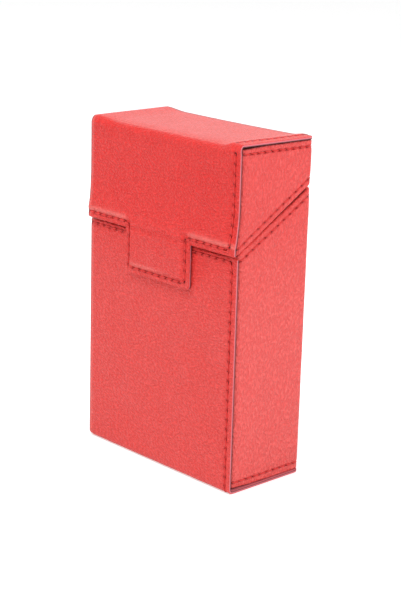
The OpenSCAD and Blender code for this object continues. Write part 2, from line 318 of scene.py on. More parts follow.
def leather_sheet(name, flat, seams, place, height, inner, raw=lambda u, v: False, shade=nowhere, worn=nowhere):
    """A closed sheet from a flat pattern. place(uv) gives points and normals of the outer face, height(uv) what is
    added along them, inner(uv) the points of the inner face, raw(u, v) where the outline is a bare cut, shade(uv)
    where shade is painted into gaps and the edges are darker, and worn(uv) where a highlight is painted pale."""
    inner_spots, inner_faces = flat_arrays(flat)
    outline = [(e.verts[0].index, e.verts[1].index) for e in flat.edges if e.is_boundary]
    if seams:
        refine(flat, seams)
    spots, faces = flat_arrays(flat)
    flat.free()

    points, normals = place(spots)
    depth, pressed, holes = seam_depth(spots, seams)
    points = points + normals * (height(spots) - depth)[:, None]
    outer_of = {tuple(np.round(spot, 3)): i for i, spot in enumerate(spots)}

    mesh = bmesh.new()
    layer = mesh.loops.layers.uv.new("leather")
    # These masks colour the leather: shade paints shade into gaps, hole paints shade into the needle holes, and worn
    # paints a highlight.
    masks = [mesh.verts.layers.float.new(mask) for mask in ("pressed", "hole", "shade", "worn")]
    outer_verts = [mesh.verts.new(p * MM) for p in points]
    inner_verts = [mesh.verts.new(p * MM) for p in inner(inner_spots)]
    for vert, *values in zip(outer_verts, pressed, holes, shade(spots), worn(spots)):
        for mask, value in zip(masks, values):
            vert[mask] = float(value)

    def face(verts, places, side):
        new = mesh.faces.new(verts)
        new.smooth, new.material_index = True, side
        for loop, spot in zip(new.loops, places):
            loop[layer].uv = (spot[0] * UV_SCALE, spot[1] * UV_SCALE)

    for verts, at, shapes, side in ((outer_verts, spots, faces, FACE_SIDE),
                                    (inner_verts, inner_spots, inner_faces, FLESH_SIDE)):
        for corners in shapes:
            face([verts[i] for i in corners], [at[i] for i in corners], side)

    skirts = {}
    for i in {i for pair in outline for i in pair}:
        top = outer_verts[outer_of[tuple(np.round(inner_spots[i], 3))]]
        bottom = inner_verts[i]
        between = [mesh.verts.new(top.co.lerp(bottom.co, k / EDGE_ROWS)) for k in range(1, EDGE_ROWS)]
        skirts[i] = [top, *between, bottom]
    for a, b in outline:
        bare = raw(*(inner_spots[a] + inner_spots[b]) / 2)
        base, run = inner_spots[a].sum(), np.linalg.norm(inner_spots[a] - inner_spots[b])
        for k in range(EDGE_ROWS):
            deep, deeper = k * LEATHER / EDGE_ROWS, (k + 1) * LEATHER / EDGE_ROWS
            face([skirts[a][k], skirts[b][k], skirts[b][k + 1], skirts[a][k + 1]],
                 [(base, deep), (base + run, deep), (base + run, deeper), (base, deeper)],
                 FLESH_SIDE if bare else FACE_SIDE)
    crisp_folds(mesh)
    return new_object(name, mesh)


print("a cut edge is", EDGE_ROWS, "rows deep")

# %% [markdown]
# ## Thread
# Between two holes the thread lies in the pressed line like a small sausage, and at both holes it dives into the
# leather. Each stitch stands a little askew, as machine stitches do. Copies of one stitch would be lighter, but they
# couldn't bend round a fold. So the stitches are laid on the same flat pattern as the leather and folded with it,
# and they can't drift away from their holes.

# %% Thread
THREAD_R, THREAD_ENDS, THREAD_FLATNESS = 0.19, 0.72, 0.85
THREAD_LIFT, THREAD_DIVE, THREAD_SLANT = -0.04, 0.42, 0.16
SHORTEST_STITCH = 0.4
THREAD_SPAN = (0.02, 0.98)
AROUND, ALONG = 8, 11


def unit(vectors):
    return vectors / np.linalg.norm(vectors, axis=1)[:, None]


def skin(mesh, layer, rings, uv_at):
    """Faces between rings of points that follow each other. uv_at(i, j, point) places a corner on the pattern."""
    for j, (a, b) in enumerate(zip(rings, rings[1:])):
        for i in range(len(a)):
            n = (i + 1) % len(a)
            new = mesh.faces.new((a[i], a[n], b[n], b[i]))
            new.smooth = True
            for loop, (p, q) in zip(new.loops, ((i, j), (i + 1, j), (i + 1, j + 1), (i, j + 1))):
                loop[layer].uv = uv_at(p, q, loop.vert.co)


def stitch_rings(mesh, seam, k, place, height):
    """Rings of points round one stitch, or None where it would cut off a corner of the seam."""
    start, end = seam.at(k * seam.pitch + 1e-6), seam.at((k + 1) * seam.pitch - 1e-6)
    run = end - start
    if k and np.linalg.norm(run) < SHORTEST_STITCH * seam.pitch:
        return None
    t = np.linspace(*THREAD_SPAN, ALONG)
    aside = np.array([-run[1], run[0]]) / np.linalg.norm(run)
    line = start + t[:, None] * run + aside * (THREAD_SLANT * (t - 0.5))[:, None]
    lift = THREAD_LIFT - seam.sunk - THREAD_DIVE * np.abs(2 * t - 1) ** seam.dive
    points, normals = place(line)
    points = points + normals * (height(line) + lift)[:, None]
    ahead = unit(np.gradient(points, axis=0))
    sideways = unit(np.cross(ahead, normals))
    upwards = np.cross(sideways, ahead)
    thick = THREAD_R * (THREAD_ENDS + (1 - THREAD_ENDS) * np.sin(math.pi * t) ** 0.5)
    turns = np.linspace(0, 2 * math.pi, AROUND, endpoint=False)
    return [[mesh.verts.new((p + r * (math.cos(a) * s + THREAD_FLATNESS * math.sin(a) * w)) * MM) for a in turns]
            for p, s, w, r in zip(points, sideways, upwards, thick)]


def stitching(name, seams, place, height):
    """All the stitches of some seams as one mesh."""
    mesh = bmesh.new()
    layer = mesh.loops.layers.uv.new("leather")
    count = 0
    for seam in seams:
        for k in range(seam.stitches):
            rings = stitch_rings(mesh, seam, k, place, height)
            if rings:
                skin(mesh, layer, rings, lambda i, j, point: (j / (ALONG - 1) + k, i / AROUND))
                mesh.faces.new(rings[0][::-1])
                mesh.faces.new(rings[-1])
                count += 1
    bmesh.ops.recalc_face_normals(mesh, faces=mesh.faces)
    print(count, "stitches in")
    return new_object(name, mesh)


# %% [markdown]
# ## The turned edge
# Where leather ends in the open, a maker pares it thin, folds it over the edge of the board and glues it down
# inside. In section that is a half circle and a short flat piece. The same few lines make every turned edge here:
# they take the part of the pattern that reaches past the edge and roll it over.

# %% The turned edge
HEM_R = WALL / 2
PARED = 0.42
PARING_W = 2.0
ROLL = [k * math.pi / 8 for k in range(9)]


def roll_over(foot, normal, over, past, radius, back=None):
    """Points and normals of leather that goes past the start of a turned edge by some lengths. foot is where the
    turn starts, normal the face's own normal, over the direction across the edge and back the way home, inside."""
    angle = np.clip(past / radius, 0, math.pi)
    further = np.maximum(past - math.pi * radius, 0)
    sine, cosine = np.sin(angle)[:, None], np.cos(angle)[:, None]
    r, f = np.broadcast_to(radius, past.shape)[:, None], further[:, None]
    points = foot + over * r * sine + (-over if back is None else back) * f - normal * r * (1 - cosine)
    return points, normal * cosine + over * sine


def facing(count, y, z=0.0):
    """Normals of some points that look to neither side of the case, only along its depth and height."""
    normals = np.zeros((count, 3))
    normals[:, 1], normals[:, 2] = y, z
    return normals


def plate(uv, y, way):
    """Points and normals of a pattern that stands upright at a depth y and faces the front (-1) or the back (1)."""
    return np.stack([uv[:, 0], np.full(len(uv), y), uv[:, 1]], 1), facing(len(uv), way)


print("a turned edge in", len(ROLL) - 1, "steps")

# %% [markdown]
# ## The edges of the front strips
# Two strips make the fronts, one for the body and one for the lid. Their right side is a bare cut that shows the
# layers of the leather, with a seam beside it. Their left side is turned under: it has no seam, drops softly, is
# made darker at its very edge and gets a painted highlight beside it. Both strips use these functions, so their
# edges line up.

# %% The edges of the front strips
LEFT_R, RIGHT_R, CUT_R = 0.8, 2.0, 0.13
STITCH_X, LEFT_START = 28.4, -29.7
HEM_SWELL_W, PAD = 1.6, 0.12
TURNED_FROM, TURNED_W, TURNED_DROP, TURNED_DROP_W = 26.0, 4.0, 0.16, 2.4
# Where the painted highlight beside the turned left edge and the darker edge itself begin, and how strong they are
LEFT_HIGHLIGHT_FROM, LEFT_DARK_FROM = 28.3, 29.5
LEFT_HIGHLIGHT, LEFT_DARK = 0.6, 0.95


def from_seams(x):
    """Distance inside the seam on the right, or inside the soft turned edge on the left."""
    return np.minimum(STITCH_X - x, x + HALF_W - 0.5)


def strip_edge(uv, left):
    """How far a strip has dropped at its outline: softly at the turned left side, sharply at a cut."""
    x = uv[:, 0]
    turned = rise(-x, TURNED_FROM, TURNED_W)
    away = inside_outline(x, left, HALF_W, np.where(x < 0, LEFT_R, RIGHT_R))
    return (round_off(away, CUT_R + (EDGE_R - CUT_R) * turned)
            + TURNED_DROP * turned * fall(x, -HALF_W, TURNED_DROP_W))


def left_edge_dark(x):
    """The turned left edge is made darker than the face."""
    return LEFT_DARK * rise(-x, LEFT_DARK_FROM, 0.4)


def left_edge_highlight(x):
    """Beside the darker edge, a highlight of the rounded edge is painted pale."""
    return LEFT_HIGHLIGHT * rise(-x, LEFT_HIGHLIGHT_FROM, 0.7) * fall(-x, LEFT_DARK_FROM - 0.1, 0.3)


def strip_inner(uv, place, pared, in_front, y):
    """The inner side: pared thin towards a turned edge, and flat against the wraps beside the boards."""
    points, normals = place(uv)
    inside = points - normals * (LEATHER - (LEATHER - PARED) * pared)[:, None]
    plain = (np.abs(uv[:, 0]) > WINDOW_X + 0.01) & in_front
    inside[plain] = np.stack([uv[plain, 0], np.full(plain.sum(), y), points[plain, 2]], 1)
    return inside


NEAR_EDGE = [0, 0.04, CUT_R, 0.28, EDGE_R]
strip_columns = mirrored(ordered(
    [HALF_W - near for near in NEAR_EDGE], steps(HALF_W - LEFT_R, HALF_W - RIGHT_R, 0.3),
    steps(HALF_W - RIGHT_R, WINDOW_X, 0.6), steps(WINDOW_X, TAB_X, 1.2), steps(TAB_X, 0, 1.2)))
print("columns across a front strip:", len(strip_columns))

# %% [markdown]
# ## Front and base of the body
# The front and the base are one strip, folded at the foot. The top edge is turned in, with a seam along it that
# goes round the corner and down the right side. On the pattern the height is simply the height, and below the fold
# it goes on as depth.

# %% Front and base of the body
RIM_STITCH_Z, FINE_ROWS_Z = 65.45, 62.7
BASE_FOLD_END = FOLD_R - FOLD_R * math.pi / 2
BASE_END = BASE_FOLD_END - (CASE_D - FOLD_R)
RIM_START = RIM_Z - HEM_R
SEAM_CORNER = 0.6


def body_front_place(uv):
    x, v = uv.T
    bend = np.clip((FOLD_R - v) / FOLD_R, 0, math.pi / 2)
    y = FRONT_Y + FOLD_R * (1 - np.cos(bend)) + np.maximum(BASE_FOLD_END - v, 0)
    z = np.clip(v, FOLD_R, RIM_START) - FOLD_R * np.sin(bend)
    past = np.maximum(v - RIM_START, 0)
    return roll_over(np.stack([x, y, z], 1), facing(len(uv), -np.cos(bend), -np.sin(bend)),
                     np.array([0.0, 0.0, 1.0]), past, HEM_R)


def body_front_height(uv):
    x, v = uv.T
    field = np.minimum(from_seams(x), RIM_STITCH_Z - v)
    calm = rise(HALF_W - np.abs(x), 0, 4) * rise(v, BASE_END, 3) * rise(RIM_STITCH_Z - v, 0, 5)
    return PAD * rise(field, 0, HEM_SWELL_W) * rise(v, 0, 5) + ripple(uv) * calm - strip_edge(uv, v - BASE_END)


def body_front_inner(uv):
    v = uv[:, 1]
    return strip_inner(uv, body_front_place, rise(v, RIM_START - 2.5, PARING_W), v > FOLD_R, WRAP_FRONT_Y)


def body_front_shade(uv):
    """A little shade painted inside the mouth, and darker along the turned left edge."""
    return np.maximum(0.15 * rise(uv[:, 1] - RIM_START, 0.25, 0.6), 0.7 * left_edge_dark(uv[:, 0]))


body_rows = ordered(
    [BASE_END + near for near in NEAR_EDGE], steps(BASE_END + LEFT_R, BASE_END + RIGHT_R, 0.3),
    steps(BASE_END + RIGHT_R, BASE_FOLD_END, 1.2), steps(BASE_FOLD_END, FOLD_R, 0.25),
    steps(FOLD_R, FINE_ROWS_Z, 1.25), steps(FINE_ROWS_Z, RIM_START, 0.7),
    [RIM_START + angle * HEM_R for angle in ROLL], [RIM_START + math.pi * HEM_R + extra for extra in (0.7, 1.4)])
body_front_seams = [Seam([(LEFT_START, RIM_STITCH_Z), (STITCH_X - SEAM_CORNER, RIM_STITCH_Z),
                          (STITCH_X, RIM_STITCH_Z - SEAM_CORNER), (STITCH_X, BASE_END + 2.0)])]
body_front_flat = round_corners(
    pattern(strip_columns, lambda u: body_rows,
            lambda u, v: v < RIM_START + HEM_R * math.pi / 2 or abs(u) < WINDOW_X),
    HALF_W, BASE_END, -1, LEFT_R, RIGHT_R)
body_front = leather_sheet(
    "body_front_leather", body_front_flat, body_front_seams, body_front_place, body_front_height, body_front_inner,
    lambda u, v: u > LEFT_START and v < RIM_START + 0.3, body_front_shade, lambda uv: 0.7 * left_edge_highlight(uv[:, 0]))
body_front_thread = stitching("body_front_stitches", body_front_seams, body_front_place, body_front_height)

# %% [markdown]
# ## The lean and the padded field
# The lid's lower part leans out, so that the tab hangs clear of the body, and it is padded: inside the stitched hem
# the leather stands up in a soft step, which runs on over the tab. A highlight is painted pale where that step
# bevels down to the seam. The root of the tab has been bent so often that a crease stays in it.

# %% The lean and the padded field
LIP_STITCH_Z = 68.9
TAB_STITCH_LEFT, TAB_STITCH_RIGHT, TAB_STITCH_Z = -11.95, 11.35, 56.1
SWELL, SWELL_START, SWELL_W = FIELD_RISE + 0.15, 0.15, BEVEL_W + 0.35
CREASE_Z, CREASE_DEPTH, CREASE_LIP = 67.6, 0.2, 0.1


def lean_at(z):
    return LEAN * np.clip((FLARE_Z - z) / (FLARE_Z - LIP_TOP_Z), 0, 1) ** 2


def lean_slope(z):
    t = np.clip((FLARE_Z - z) / (FLARE_Z - LIP_TOP_Z), 0, 1)
    return np.where(z > LIP_TOP_Z, 2 * LEAN * t / (FLARE_Z - LIP_TOP_Z), 0)


def field_step(uv):
    """How high the padded field stands above the hem: a soft step just inside the seam, over lid and tab."""
    x, z = uv.T
    above = z - LIP_STITCH_Z
    across = np.minimum(x - TAB_STITCH_LEFT, TAB_STITCH_RIGHT - x)
    on_tab = np.minimum(across, z - TAB_STITCH_Z)
    corner = -np.hypot(np.minimum(above, 0), np.minimum(across, 0))
    inside = np.where((above > 0) | (on_tab > 0), np.maximum(above, on_tab), corner)
    return SWELL * (lean_at(z) / LEAN) ** 0.8 * rise(inside, SWELL_START, SWELL_W)


def painted_highlight(uv):
    """Where a highlight is painted pale: on the step above the lower seams of lid and tab, and beside the left edge.
    """
    x, z = uv.T
    in_lid = rise(np.abs(x), TAB_STITCH_RIGHT, 3)
    low = np.where(in_lid > 0, z - LIP_STITCH_Z, z - TAB_STITCH_Z)
    band = rise(low, 0.2, 0.6) * fall(low, 1.1, 1.3)
    return np.maximum(band * np.where(in_lid > 0, in_lid, 0.8 * rise(9 - x, 0, 14)), left_edge_highlight(x))


def crease(uv):
    """The soft crease where the tab has been bent many times, with a low ridge above it."""
    x, z = uv.T
    above = z - (CREASE_Z + 0.25 * np.sin(0.5 * x + 0.8))
    fold = CREASE_DEPTH * np.exp(-(above / 0.55) ** 2) - CREASE_LIP * np.exp(-((above - 1.2) / 0.7) ** 2)
    return fold * rise(11.5 - np.abs(x), 0, 3)


print("the lid leans out by", LEAN, "mm and its field stands up by", round(SWELL, 2), "mm")

# %% [markdown]
# ## Front and top of the lid
# This strip is folded over the top. On the real case it has warped: the top sags between its edges, the right hem
# stands up above the side, and the fold is tight at the right and soft in the middle. The pattern leaves a bay in
# the lower edge for the tab, which is a piece of its own because it bends by itself.

# %% Front and top of the lid
TOP_FOLD_START = CASE_H - FOLD_R
TOP_FOLD_END = TOP_FOLD_START + FOLD_R * math.pi / 2
TOP_END = TOP_FOLD_END + CASE_D - FOLD_R
LIP_START = LIP_Z + HEM_R
TOP_STITCH_X, FINE_ROWS_END = 27.0, 71.0
TOP_SAG, LEFT_RISE, LEFT_INSET = 0.25, 0.6, 0.35
HEM_RISE, HEM_RISE_LOSS = 0.9, 0.35
TIGHT_CORNER, SOFT_FOLD = 0.3, 0.42


def lid_front_place(uv):
    x, v = uv.T
    z = np.clip(v, LIP_START, TOP_FOLD_START)
    bend = np.clip((v - TOP_FOLD_START) / FOLD_R, 0, math.pi / 2)
    along_top = np.maximum(v - TOP_FOLD_END, 0)
    y = FRONT_Y - lean_at(z) + FOLD_R * (1 - np.cos(bend)) + along_top
    at_left = rise(-x, 21, 8)
    on_top = rise(v, TOP_FOLD_START, TOP_FOLD_END - TOP_FOLD_START)
    sag = TOP_SAG * (1 - (x / HALF_W) ** 2) * rise(v, TOP_FOLD_END, 20)
    curl = (HEM_RISE - HEM_RISE_LOSS * along_top / (TOP_END - TOP_FOLD_END)) * rise(x, 22, 4.5)
    fold_middle = (TOP_FOLD_START + TOP_FOLD_END) / 2
    corner = (TIGHT_CORNER * rise(x, 24, 5) * np.sin(2 * bend)
              - SOFT_FOLD * fall(np.abs(x), 20, 7) * np.exp(-((v - fold_middle) / 2.6) ** 2))
    z_bent = z + FOLD_R * np.sin(bend) + on_top * (LEFT_RISE * at_left + curl) - sag + corner
    points = np.stack([x - LEFT_INSET * at_left * rise(v, 71, 8), y - corner, z_bent], 1)
    tilt = np.arctan(lean_slope(z)) + bend
    past = np.maximum(LIP_START - v, 0)
    return roll_over(points, facing(len(uv), -np.cos(tilt), np.sin(tilt)), np.array([0.0, 0.0, -1.0]), past, HEM_R)


def lid_front_height(uv):
    x, v = uv.T
    calm = rise(HALF_W - np.abs(x), 0, 4) * rise(TOP_END - v, 0, 3) * rise(v, LIP_STITCH_Z, 4)
    pad = (PAD + 0.5 * PAD * rise(v, TOP_FOLD_END, 3)) * rise(from_seams(x), 0, HEM_SWELL_W)
    return (field_step(uv) * rise(from_seams(x), -1.5, 2.2) + pad * rise(v, LIP_STITCH_Z, 1.5)
            + ripple(uv) * calm - crease(uv) - strip_edge(uv, TOP_END - v))


def lid_front_inner(uv):
    x, v = uv.T
    pared = rise(LIP_START + 2.5 - v, 0, PARING_W) * (np.abs(x) >= TAB_X - 0.01)
    return strip_inner(uv, lid_front_place, pared, v < LIP_TOP_Z, LIP_Y)


def lid_front_kept(u, v):
    if abs(u) < TAB_X:
        return v > ROOT_TOP_Z
    return v > LIP_START - HEM_R * math.pi / 2 or abs(u) < WINDOW_X


def lid_front_shade(uv):
    """Shade painted inside the turned edge, and darker along the left side and along the back of the top."""
    x, v = uv.T
    return np.maximum.reduce([0.2 * rise(LIP_START - 0.7 - v, 0, 0.6), left_edge_dark(x),
                              0.7 * rise(v - TOP_END, -1.0, 0.5)])


lid_rows = ordered(
    [LIP_START - math.pi * HEM_R - extra for extra in (0.7, 1.3)], [LIP_START - angle * HEM_R for angle in ROLL],
    [LIP_START, ROOT_TOP_Z], steps(ROOT_TOP_Z, FINE_ROWS_END, 0.45), steps(FINE_ROWS_END, TOP_FOLD_START, 1.25),
    steps(TOP_FOLD_START, TOP_FOLD_END, 0.25), steps(TOP_FOLD_END, TOP_END - RIGHT_R, 1.2),
    steps(TOP_END - RIGHT_R, TOP_END - LEFT_R, 0.3), [TOP_END - near for near in NEAR_EDGE])
lid_front_seams = [
    Seam([(LEFT_START, LIP_STITCH_Z), (TAB_STITCH_LEFT, LIP_STITCH_Z), (TAB_STITCH_LEFT, ROOT_TOP_Z + 0.05)]),
    Seam([(TAB_STITCH_RIGHT, ROOT_TOP_Z + 0.05), (TAB_STITCH_RIGHT, LIP_STITCH_Z), (STITCH_X, LIP_STITCH_Z),
          (STITCH_X, TOP_FOLD_START)]),
    Seam([(TOP_STITCH_X, TOP_FOLD_END + 0.6), (TOP_STITCH_X, TOP_END - 1.4)], holes=WIDE_HOLES)]
lid_front_flat = round_corners(pattern(strip_columns, lambda u: lid_rows, lid_front_kept),
                               HALF_W, TOP_END, 1, LEFT_R, RIGHT_R)
lid_front = leather_sheet(
    "lid_front_leather", lid_front_flat, lid_front_seams, lid_front_place, lid_front_height, lid_front_inner,
    lambda u, v: u > LEFT_START and v > LIP_START - 0.3, lid_front_shade, painted_highlight)
lid_front_thread = stitching("lid_front_stitches", lid_front_seams, lid_front_place, lid_front_height)

# %% [markdown]
# ## The tab
# The tab is cut with the lid front and hangs from its lower edge, and its outline is a bare cut. Its pattern is a
# rectangle with two rounded corners. A square grid can have round corners too: inside each corner square the
# points are pulled onto a quarter disc. The root is where the real tab bends; this piece is carried by no body here.
# A thin backing closes the back of the tab over the magnet, a little smaller so that it never shows in front.

# %% The tab
TAB_EDGE_R, BACKING_DROP = 0.2, 0.12
BACKING_SHARE, BACKING_SHIFT = np.array([0.985, 1]), np.array([0, 0.12])


def tab_edge(uv):
    """Distance from the tab's own outline, which ends at the lower edge of the lid."""
    x, z = uv.T
    inside = inside_outline(x, z - TAB_BOTTOM_Z, TAB_X, TAB_R)
    return np.where(z > LIP_Z, np.hypot(TAB_X - np.abs(x), z - LIP_Z), inside)


def tab_place(uv):
    return plate(uv, HEM_Y, -1)


def tab_height(uv):
    calm = rise(tab_edge(uv), 0, 4)
    return field_step(uv) + 0.6 * ripple(uv) * calm - crease(uv) - round_off(tab_edge(uv), TAB_EDGE_R)


def tab_pattern(top, size):
    near = [0, 0.03, 0.1, TAB_EDGE_R]
    flat = pattern(mirrored([TAB_X - n for n in near] + steps(TAB_X - 0.7, 0, size)),
                   lambda u: ordered([TAB_BOTTOM_Z + n for n in near], steps(TAB_BOTTOM_Z + 0.7, top, size)))
    return round_corners(flat, TAB_X, TAB_BOTTOM_Z, -1, TAB_R, TAB_R)


tab_seams = [Seam([(TAB_STITCH_LEFT, ROOT_TOP_Z - 0.1), (TAB_STITCH_LEFT, TAB_STITCH_Z),
                   (TAB_STITCH_RIGHT, TAB_STITCH_Z), (TAB_STITCH_RIGHT, ROOT_TOP_Z - 0.1)])]
tab = leather_sheet("tab_front_leather", tab_pattern(ROOT_TOP_Z, 0.45), tab_seams, tab_place, tab_height,
                    lambda uv: plate(uv, LIP_Y, 1)[0], lambda u, v: v < LIP_Z, worn=painted_highlight)
tab_thread = stitching("tab_stitches", tab_seams, tab_place, tab_height)
tab_back = leather_sheet(
    "tab_back_leather", tab_pattern(ROOT_BOTTOM_Z - 0.2, 1.2), [],
    lambda uv: plate(uv * BACKING_SHARE + BACKING_SHIFT, LIP_Y + BACKING, 1),
    lambda uv: -round_off(tab_edge(uv), TAB_EDGE_R, BACKING_DROP),
    lambda uv: plate(uv * BACKING_SHARE + BACKING_SHIFT, LIP_Y, 1)[0], lambda u, v: True)

# %% [markdown]
# ## The way round the case
# The left side, the back and the right side of the body are one strip, and those of the lid another. The pattern
# runs once round the case: from the edge behind the front, round the side, the back and the other side. So one
# function has to tell where a length along that way ends up, and which way the leather faces there.

# %% The way round the case
ARC = math.pi / 2
SIDE_START = NOTCH_X + BACK_R * ARC
SIDE_END = SIDE_START + (BACK_Y - BACK_R) - (WRAP_FRONT_Y + EDGE_R)
FLANGE_START = SIDE_END + EDGE_R * ARC
FLANGE_END = FLANGE_START + TURN_W - EDGE_R
LEAN_START = SIDE_END - 12.0


def round_case(u, z, leans):
    """Point, outward normal and direction onwards at a length round the case, from the middle of the back."""
    a, sign = np.abs(u), np.where(u < 0, -1.0, 1.0)
    back_turn = np.clip((a - NOTCH_X) / BACK_R, 0, ARC)
    front_turn = np.clip((a - SIDE_END) / EDGE_R, 0, ARC)
    run = np.clip(a - SIDE_START, 0, SIDE_END - SIDE_START)
    flange = np.maximum(a - FLANGE_START, 0)
    x = (np.minimum(a, NOTCH_X) + BACK_R * np.sin(back_turn) - EDGE_R * (1 - np.cos(front_turn)) - flange)
    y = BACK_Y - BACK_R * (1 - np.cos(back_turn)) - run - EDGE_R * np.sin(front_turn)
    if leans:
        y = y - lean_at(z) * rise(a, LEAN_START, SIDE_END - LEAN_START)
    angle = back_turn + front_turn
    normals = np.stack([sign * np.sin(angle), np.cos(angle), np.zeros(len(u))], 1)
    tangents = np.stack([np.cos(angle) * sign, -np.sin(angle), np.zeros(len(u))], 1) * sign[:, None]
    return np.stack([sign * x, y, z], 1), normals, tangents


def wall_at(u):
    """Thickness of the wall, from the back to the sides."""
    return WALL + (SIDE_WALL - WALL) * np.clip((np.abs(u) - NOTCH_X) / (SIDE_START - NOTCH_X), 0, 1)


print("once round the case is", round(2 * FLANGE_END, 1), "mm")

# %% [markdown]
# ## Sides and back
# Both wraps have a slanted mouth with a turned edge, a far edge that meets the base or the top, and a seam along
# each. The back is cut away for the hinge. One class makes both, with the lid's pattern standing on its head. Near
# the front the leather sinks into a narrow gap behind the front strip, and shade is painted dark into that gap.

# %% Sides and back
EDGE_ROWS_AWAY = (0, 0.03, 0.12, 0.3, 0.6, 1.0, 1.7)
MOUTH_ROWS_AWAY = [1.6, 2.1, 2.7]
PULLED_IN, PULLED_W, PULLED_H = 0.42, 9, 2.2
TOP_LIFT, TOP_LIFT_SLOPE = 0.62, 0.0125
GAP_DEPTH, GAP_W, GAP_GROWTH = 0.4, 1.2, 0.4
FAR_EDGE_DEPTH, HINGE_PRESS, HINGE_PRESS_W, BULGE = 0.5, 0.16, 0.5, 0.10
JUST_PAST, NUDGE = 1e-4, 0.02
BESIDE_HINGE = HEM_W + 1.61


class Wrap:
    def __init__(self, turned_up, low, slope, far_z, stitch_mouth, stitch_far, middle_rows):
        self.way = 1.0 if turned_up else -1.0
        self.low, self.slope, self.far_z = low, slope, far_z
        self.leans, self.middle_rows = not turned_up, middle_rows
        self.stitch_mouth, self.stitch_far = stitch_mouth, stitch_far
        self.hinge_z = HINGE_LOW_Z if turned_up else HINGE_HIGH_Z

    def mouth(self, u):
        """Height of the mouth's edge."""
        u = np.asarray(u, float)
        y = round_case(u, np.full(u.shape, self.low), self.leans)[0][:, 1]
        return self.low + self.slope * np.maximum(y - WRAP_FRONT_Y, 0)

    def mouth_slope(self, u):
        return (self.mouth(u + NUDGE) - self.mouth(u - NUDGE)) / (2 * NUDGE)

    def measure(self, uv):
        """Distance round the case from the middle of the back, and height distances from the mouth and far edge."""
        return np.abs(uv[:, 0]), np.abs(self.mouth(uv[:, 0]) - uv[:, 1]), np.abs(uv[:, 1] - self.far_z)

    def place(self, uv):
        """The wrap follows the way round. It is pulled in at its far corners, and the lid's right side rises."""
        u, z = uv.T
        a, slope, radius = np.abs(u), self.mouth_slope(u), wall_at(u) / 2
        flat = 1 / np.sqrt(1 + slope ** 2)
        turn_z = self.mouth(u) - self.way * radius / flat
        past = np.where(a <= SIDE_END + JUST_PAST, np.maximum((z - turn_z) * self.way * flat, 0), 0)
        pulled = PULLED_IN * rise(a - SIDE_END, -PULLED_W, PULLED_W) * fall(np.abs(z - self.far_z), 0, PULLED_H)
        points, normals, tangents = round_case(u, np.where(past > 0, turn_z, z + self.way * pulled), self.leans)
        if self.leans:
            points[:, 2] += ((TOP_LIFT - TOP_LIFT_SLOPE * points[:, 1]) * rise(z, 84, 8)
                             * rise(points[:, 0], 22, 7))
        upwards = np.array([0.0, 0.0, self.way])
        over = (upwards - self.way * tangents * slope[:, None]) * flat[:, None]
        return roll_over(points, normals, over, past, radius, -upwards)

    def height(self, uv):
        z = uv[:, 1]
        a, reach, far = self.measure(uv)
        front = SIDE_END - a
        far_edge_w = 0.55 + 0.45 * rise(a - SIDE_START, 6, 14)
        gap = GAP_DEPTH * fall(front, 0, GAP_W) * rise(a, SIDE_START, 4) * (0.3 + 0.7 * rise(reach, 0, 3))
        if self.leans:
            gap = gap * (1 + GAP_GROWTH * rise(77 - z, 0, 9))
        calm = rise(far, 0, 4) * rise(reach, 0, 4) * rise(np.abs(front), 0, 3)
        pressed = HINGE_PRESS * np.exp(-((z - self.hinge_z) / HINGE_PRESS_W) ** 2) * (a < NOTCH_X + 0.5)
        bulge = BULGE * rise(far, 0, 3) * rise(reach, 0, 4) * rise(front, 0, 3)
        return ripple(uv) * calm + bulge - round_off(far, far_edge_w, FAR_EDGE_DEPTH) - gap - pressed

    def shade(self, uv):
        """Shade painted dark where the leather goes behind the front, and in the gap where it meets the top or the
        base.
        """
        a, reach, far = self.measure(uv)
        at_front = fall(SIDE_END - a, 0.1, 0.6) * rise(a, SIDE_START, 4) * (0.2 + 0.8 * rise(reach, 0.5, 2.5))
        at_far = fall(far, 0.1, 0.5) * (0.45 + 0.55 * rise(a - SIDE_START, 4, 14))
        return np.maximum(at_front, at_far)

    def inner(self, uv):
        """Pared towards the front and the mouth. Beside the hinge the strip is as thick as leather and board."""
        a, reach, _ = self.measure(uv)
        points, normals = self.place(uv)
        thick = PARED + (LEATHER - PARED) * rise(SIDE_END - a, 0, 1.5)
        rolled = (a <= SIDE_END + JUST_PAST) & ((self.mouth(uv[:, 0]) - uv[:, 1]) * self.way < SIDE_WALL)
        thick = np.where(rolled, np.minimum(thick, PARED + (LEATHER - PARED) * rise(reach, 0.9, 1)), thick)
        at_notch = (a <= NOTCH_X + JUST_PAST) & (reach < BESIDE_HINGE)
        return points - normals * np.where(at_notch, WALL, thick)[:, None]

    def rows_at(self, u):
        spot = np.array([u])
        mouth, flat = self.mouth(spot)[0], 1 / math.sqrt(1 + self.mouth_slope(spot)[0] ** 2)
        radius = wall_at(spot)[0] / 2
        from_mouth = [radius * (1 - angle) for angle in ordered(ROLL, [1.0])[::-1]]
        from_mouth = [from_mouth[0] - extra for extra in (1.4, 0.7)] + from_mouth + MOUTH_ROWS_AWAY
        near_mouth = [mouth - self.way * away / flat for away in from_mouth]
        near_far = [self.far_z + self.way * away for away in EDGE_ROWS_AWAY]
        between = list(np.linspace(near_mouth[-1], near_far[-1], self.middle_rows + 2)[1:-1])
        return near_mouth + between + near_far[::-1]

    def kept(self, u, z):
        if abs(u) < NOTCH_X:
            return (z - self.hinge_z) * self.way < 0
        return abs(u) < SIDE_END or (self.mouth(np.array([u]))[0] - z) * self.way > 0

    def seams(self):
        spots = np.array(mirrored(steps(0, NOTCH_X, 4) + steps(NOTCH_X, SIDE_START, 0.5)
                                  + steps(SIDE_START, SIDE_END - 0.5, 4)))
        flat = 1 / np.sqrt(1 + self.mouth_slope(spots) ** 2)
        mouth = self.mouth(spots) - self.way * self.stitch_mouth / flat
        far = self.far_z + self.way * self.stitch_far
        return [Seam(np.stack([spots, mouth], 1), SIDE_STITCH, SLITS),
                Seam([(-SIDE_END + 0.6, far), (SIDE_END - 0.6, far)], SIDE_STITCH, SLITS)]


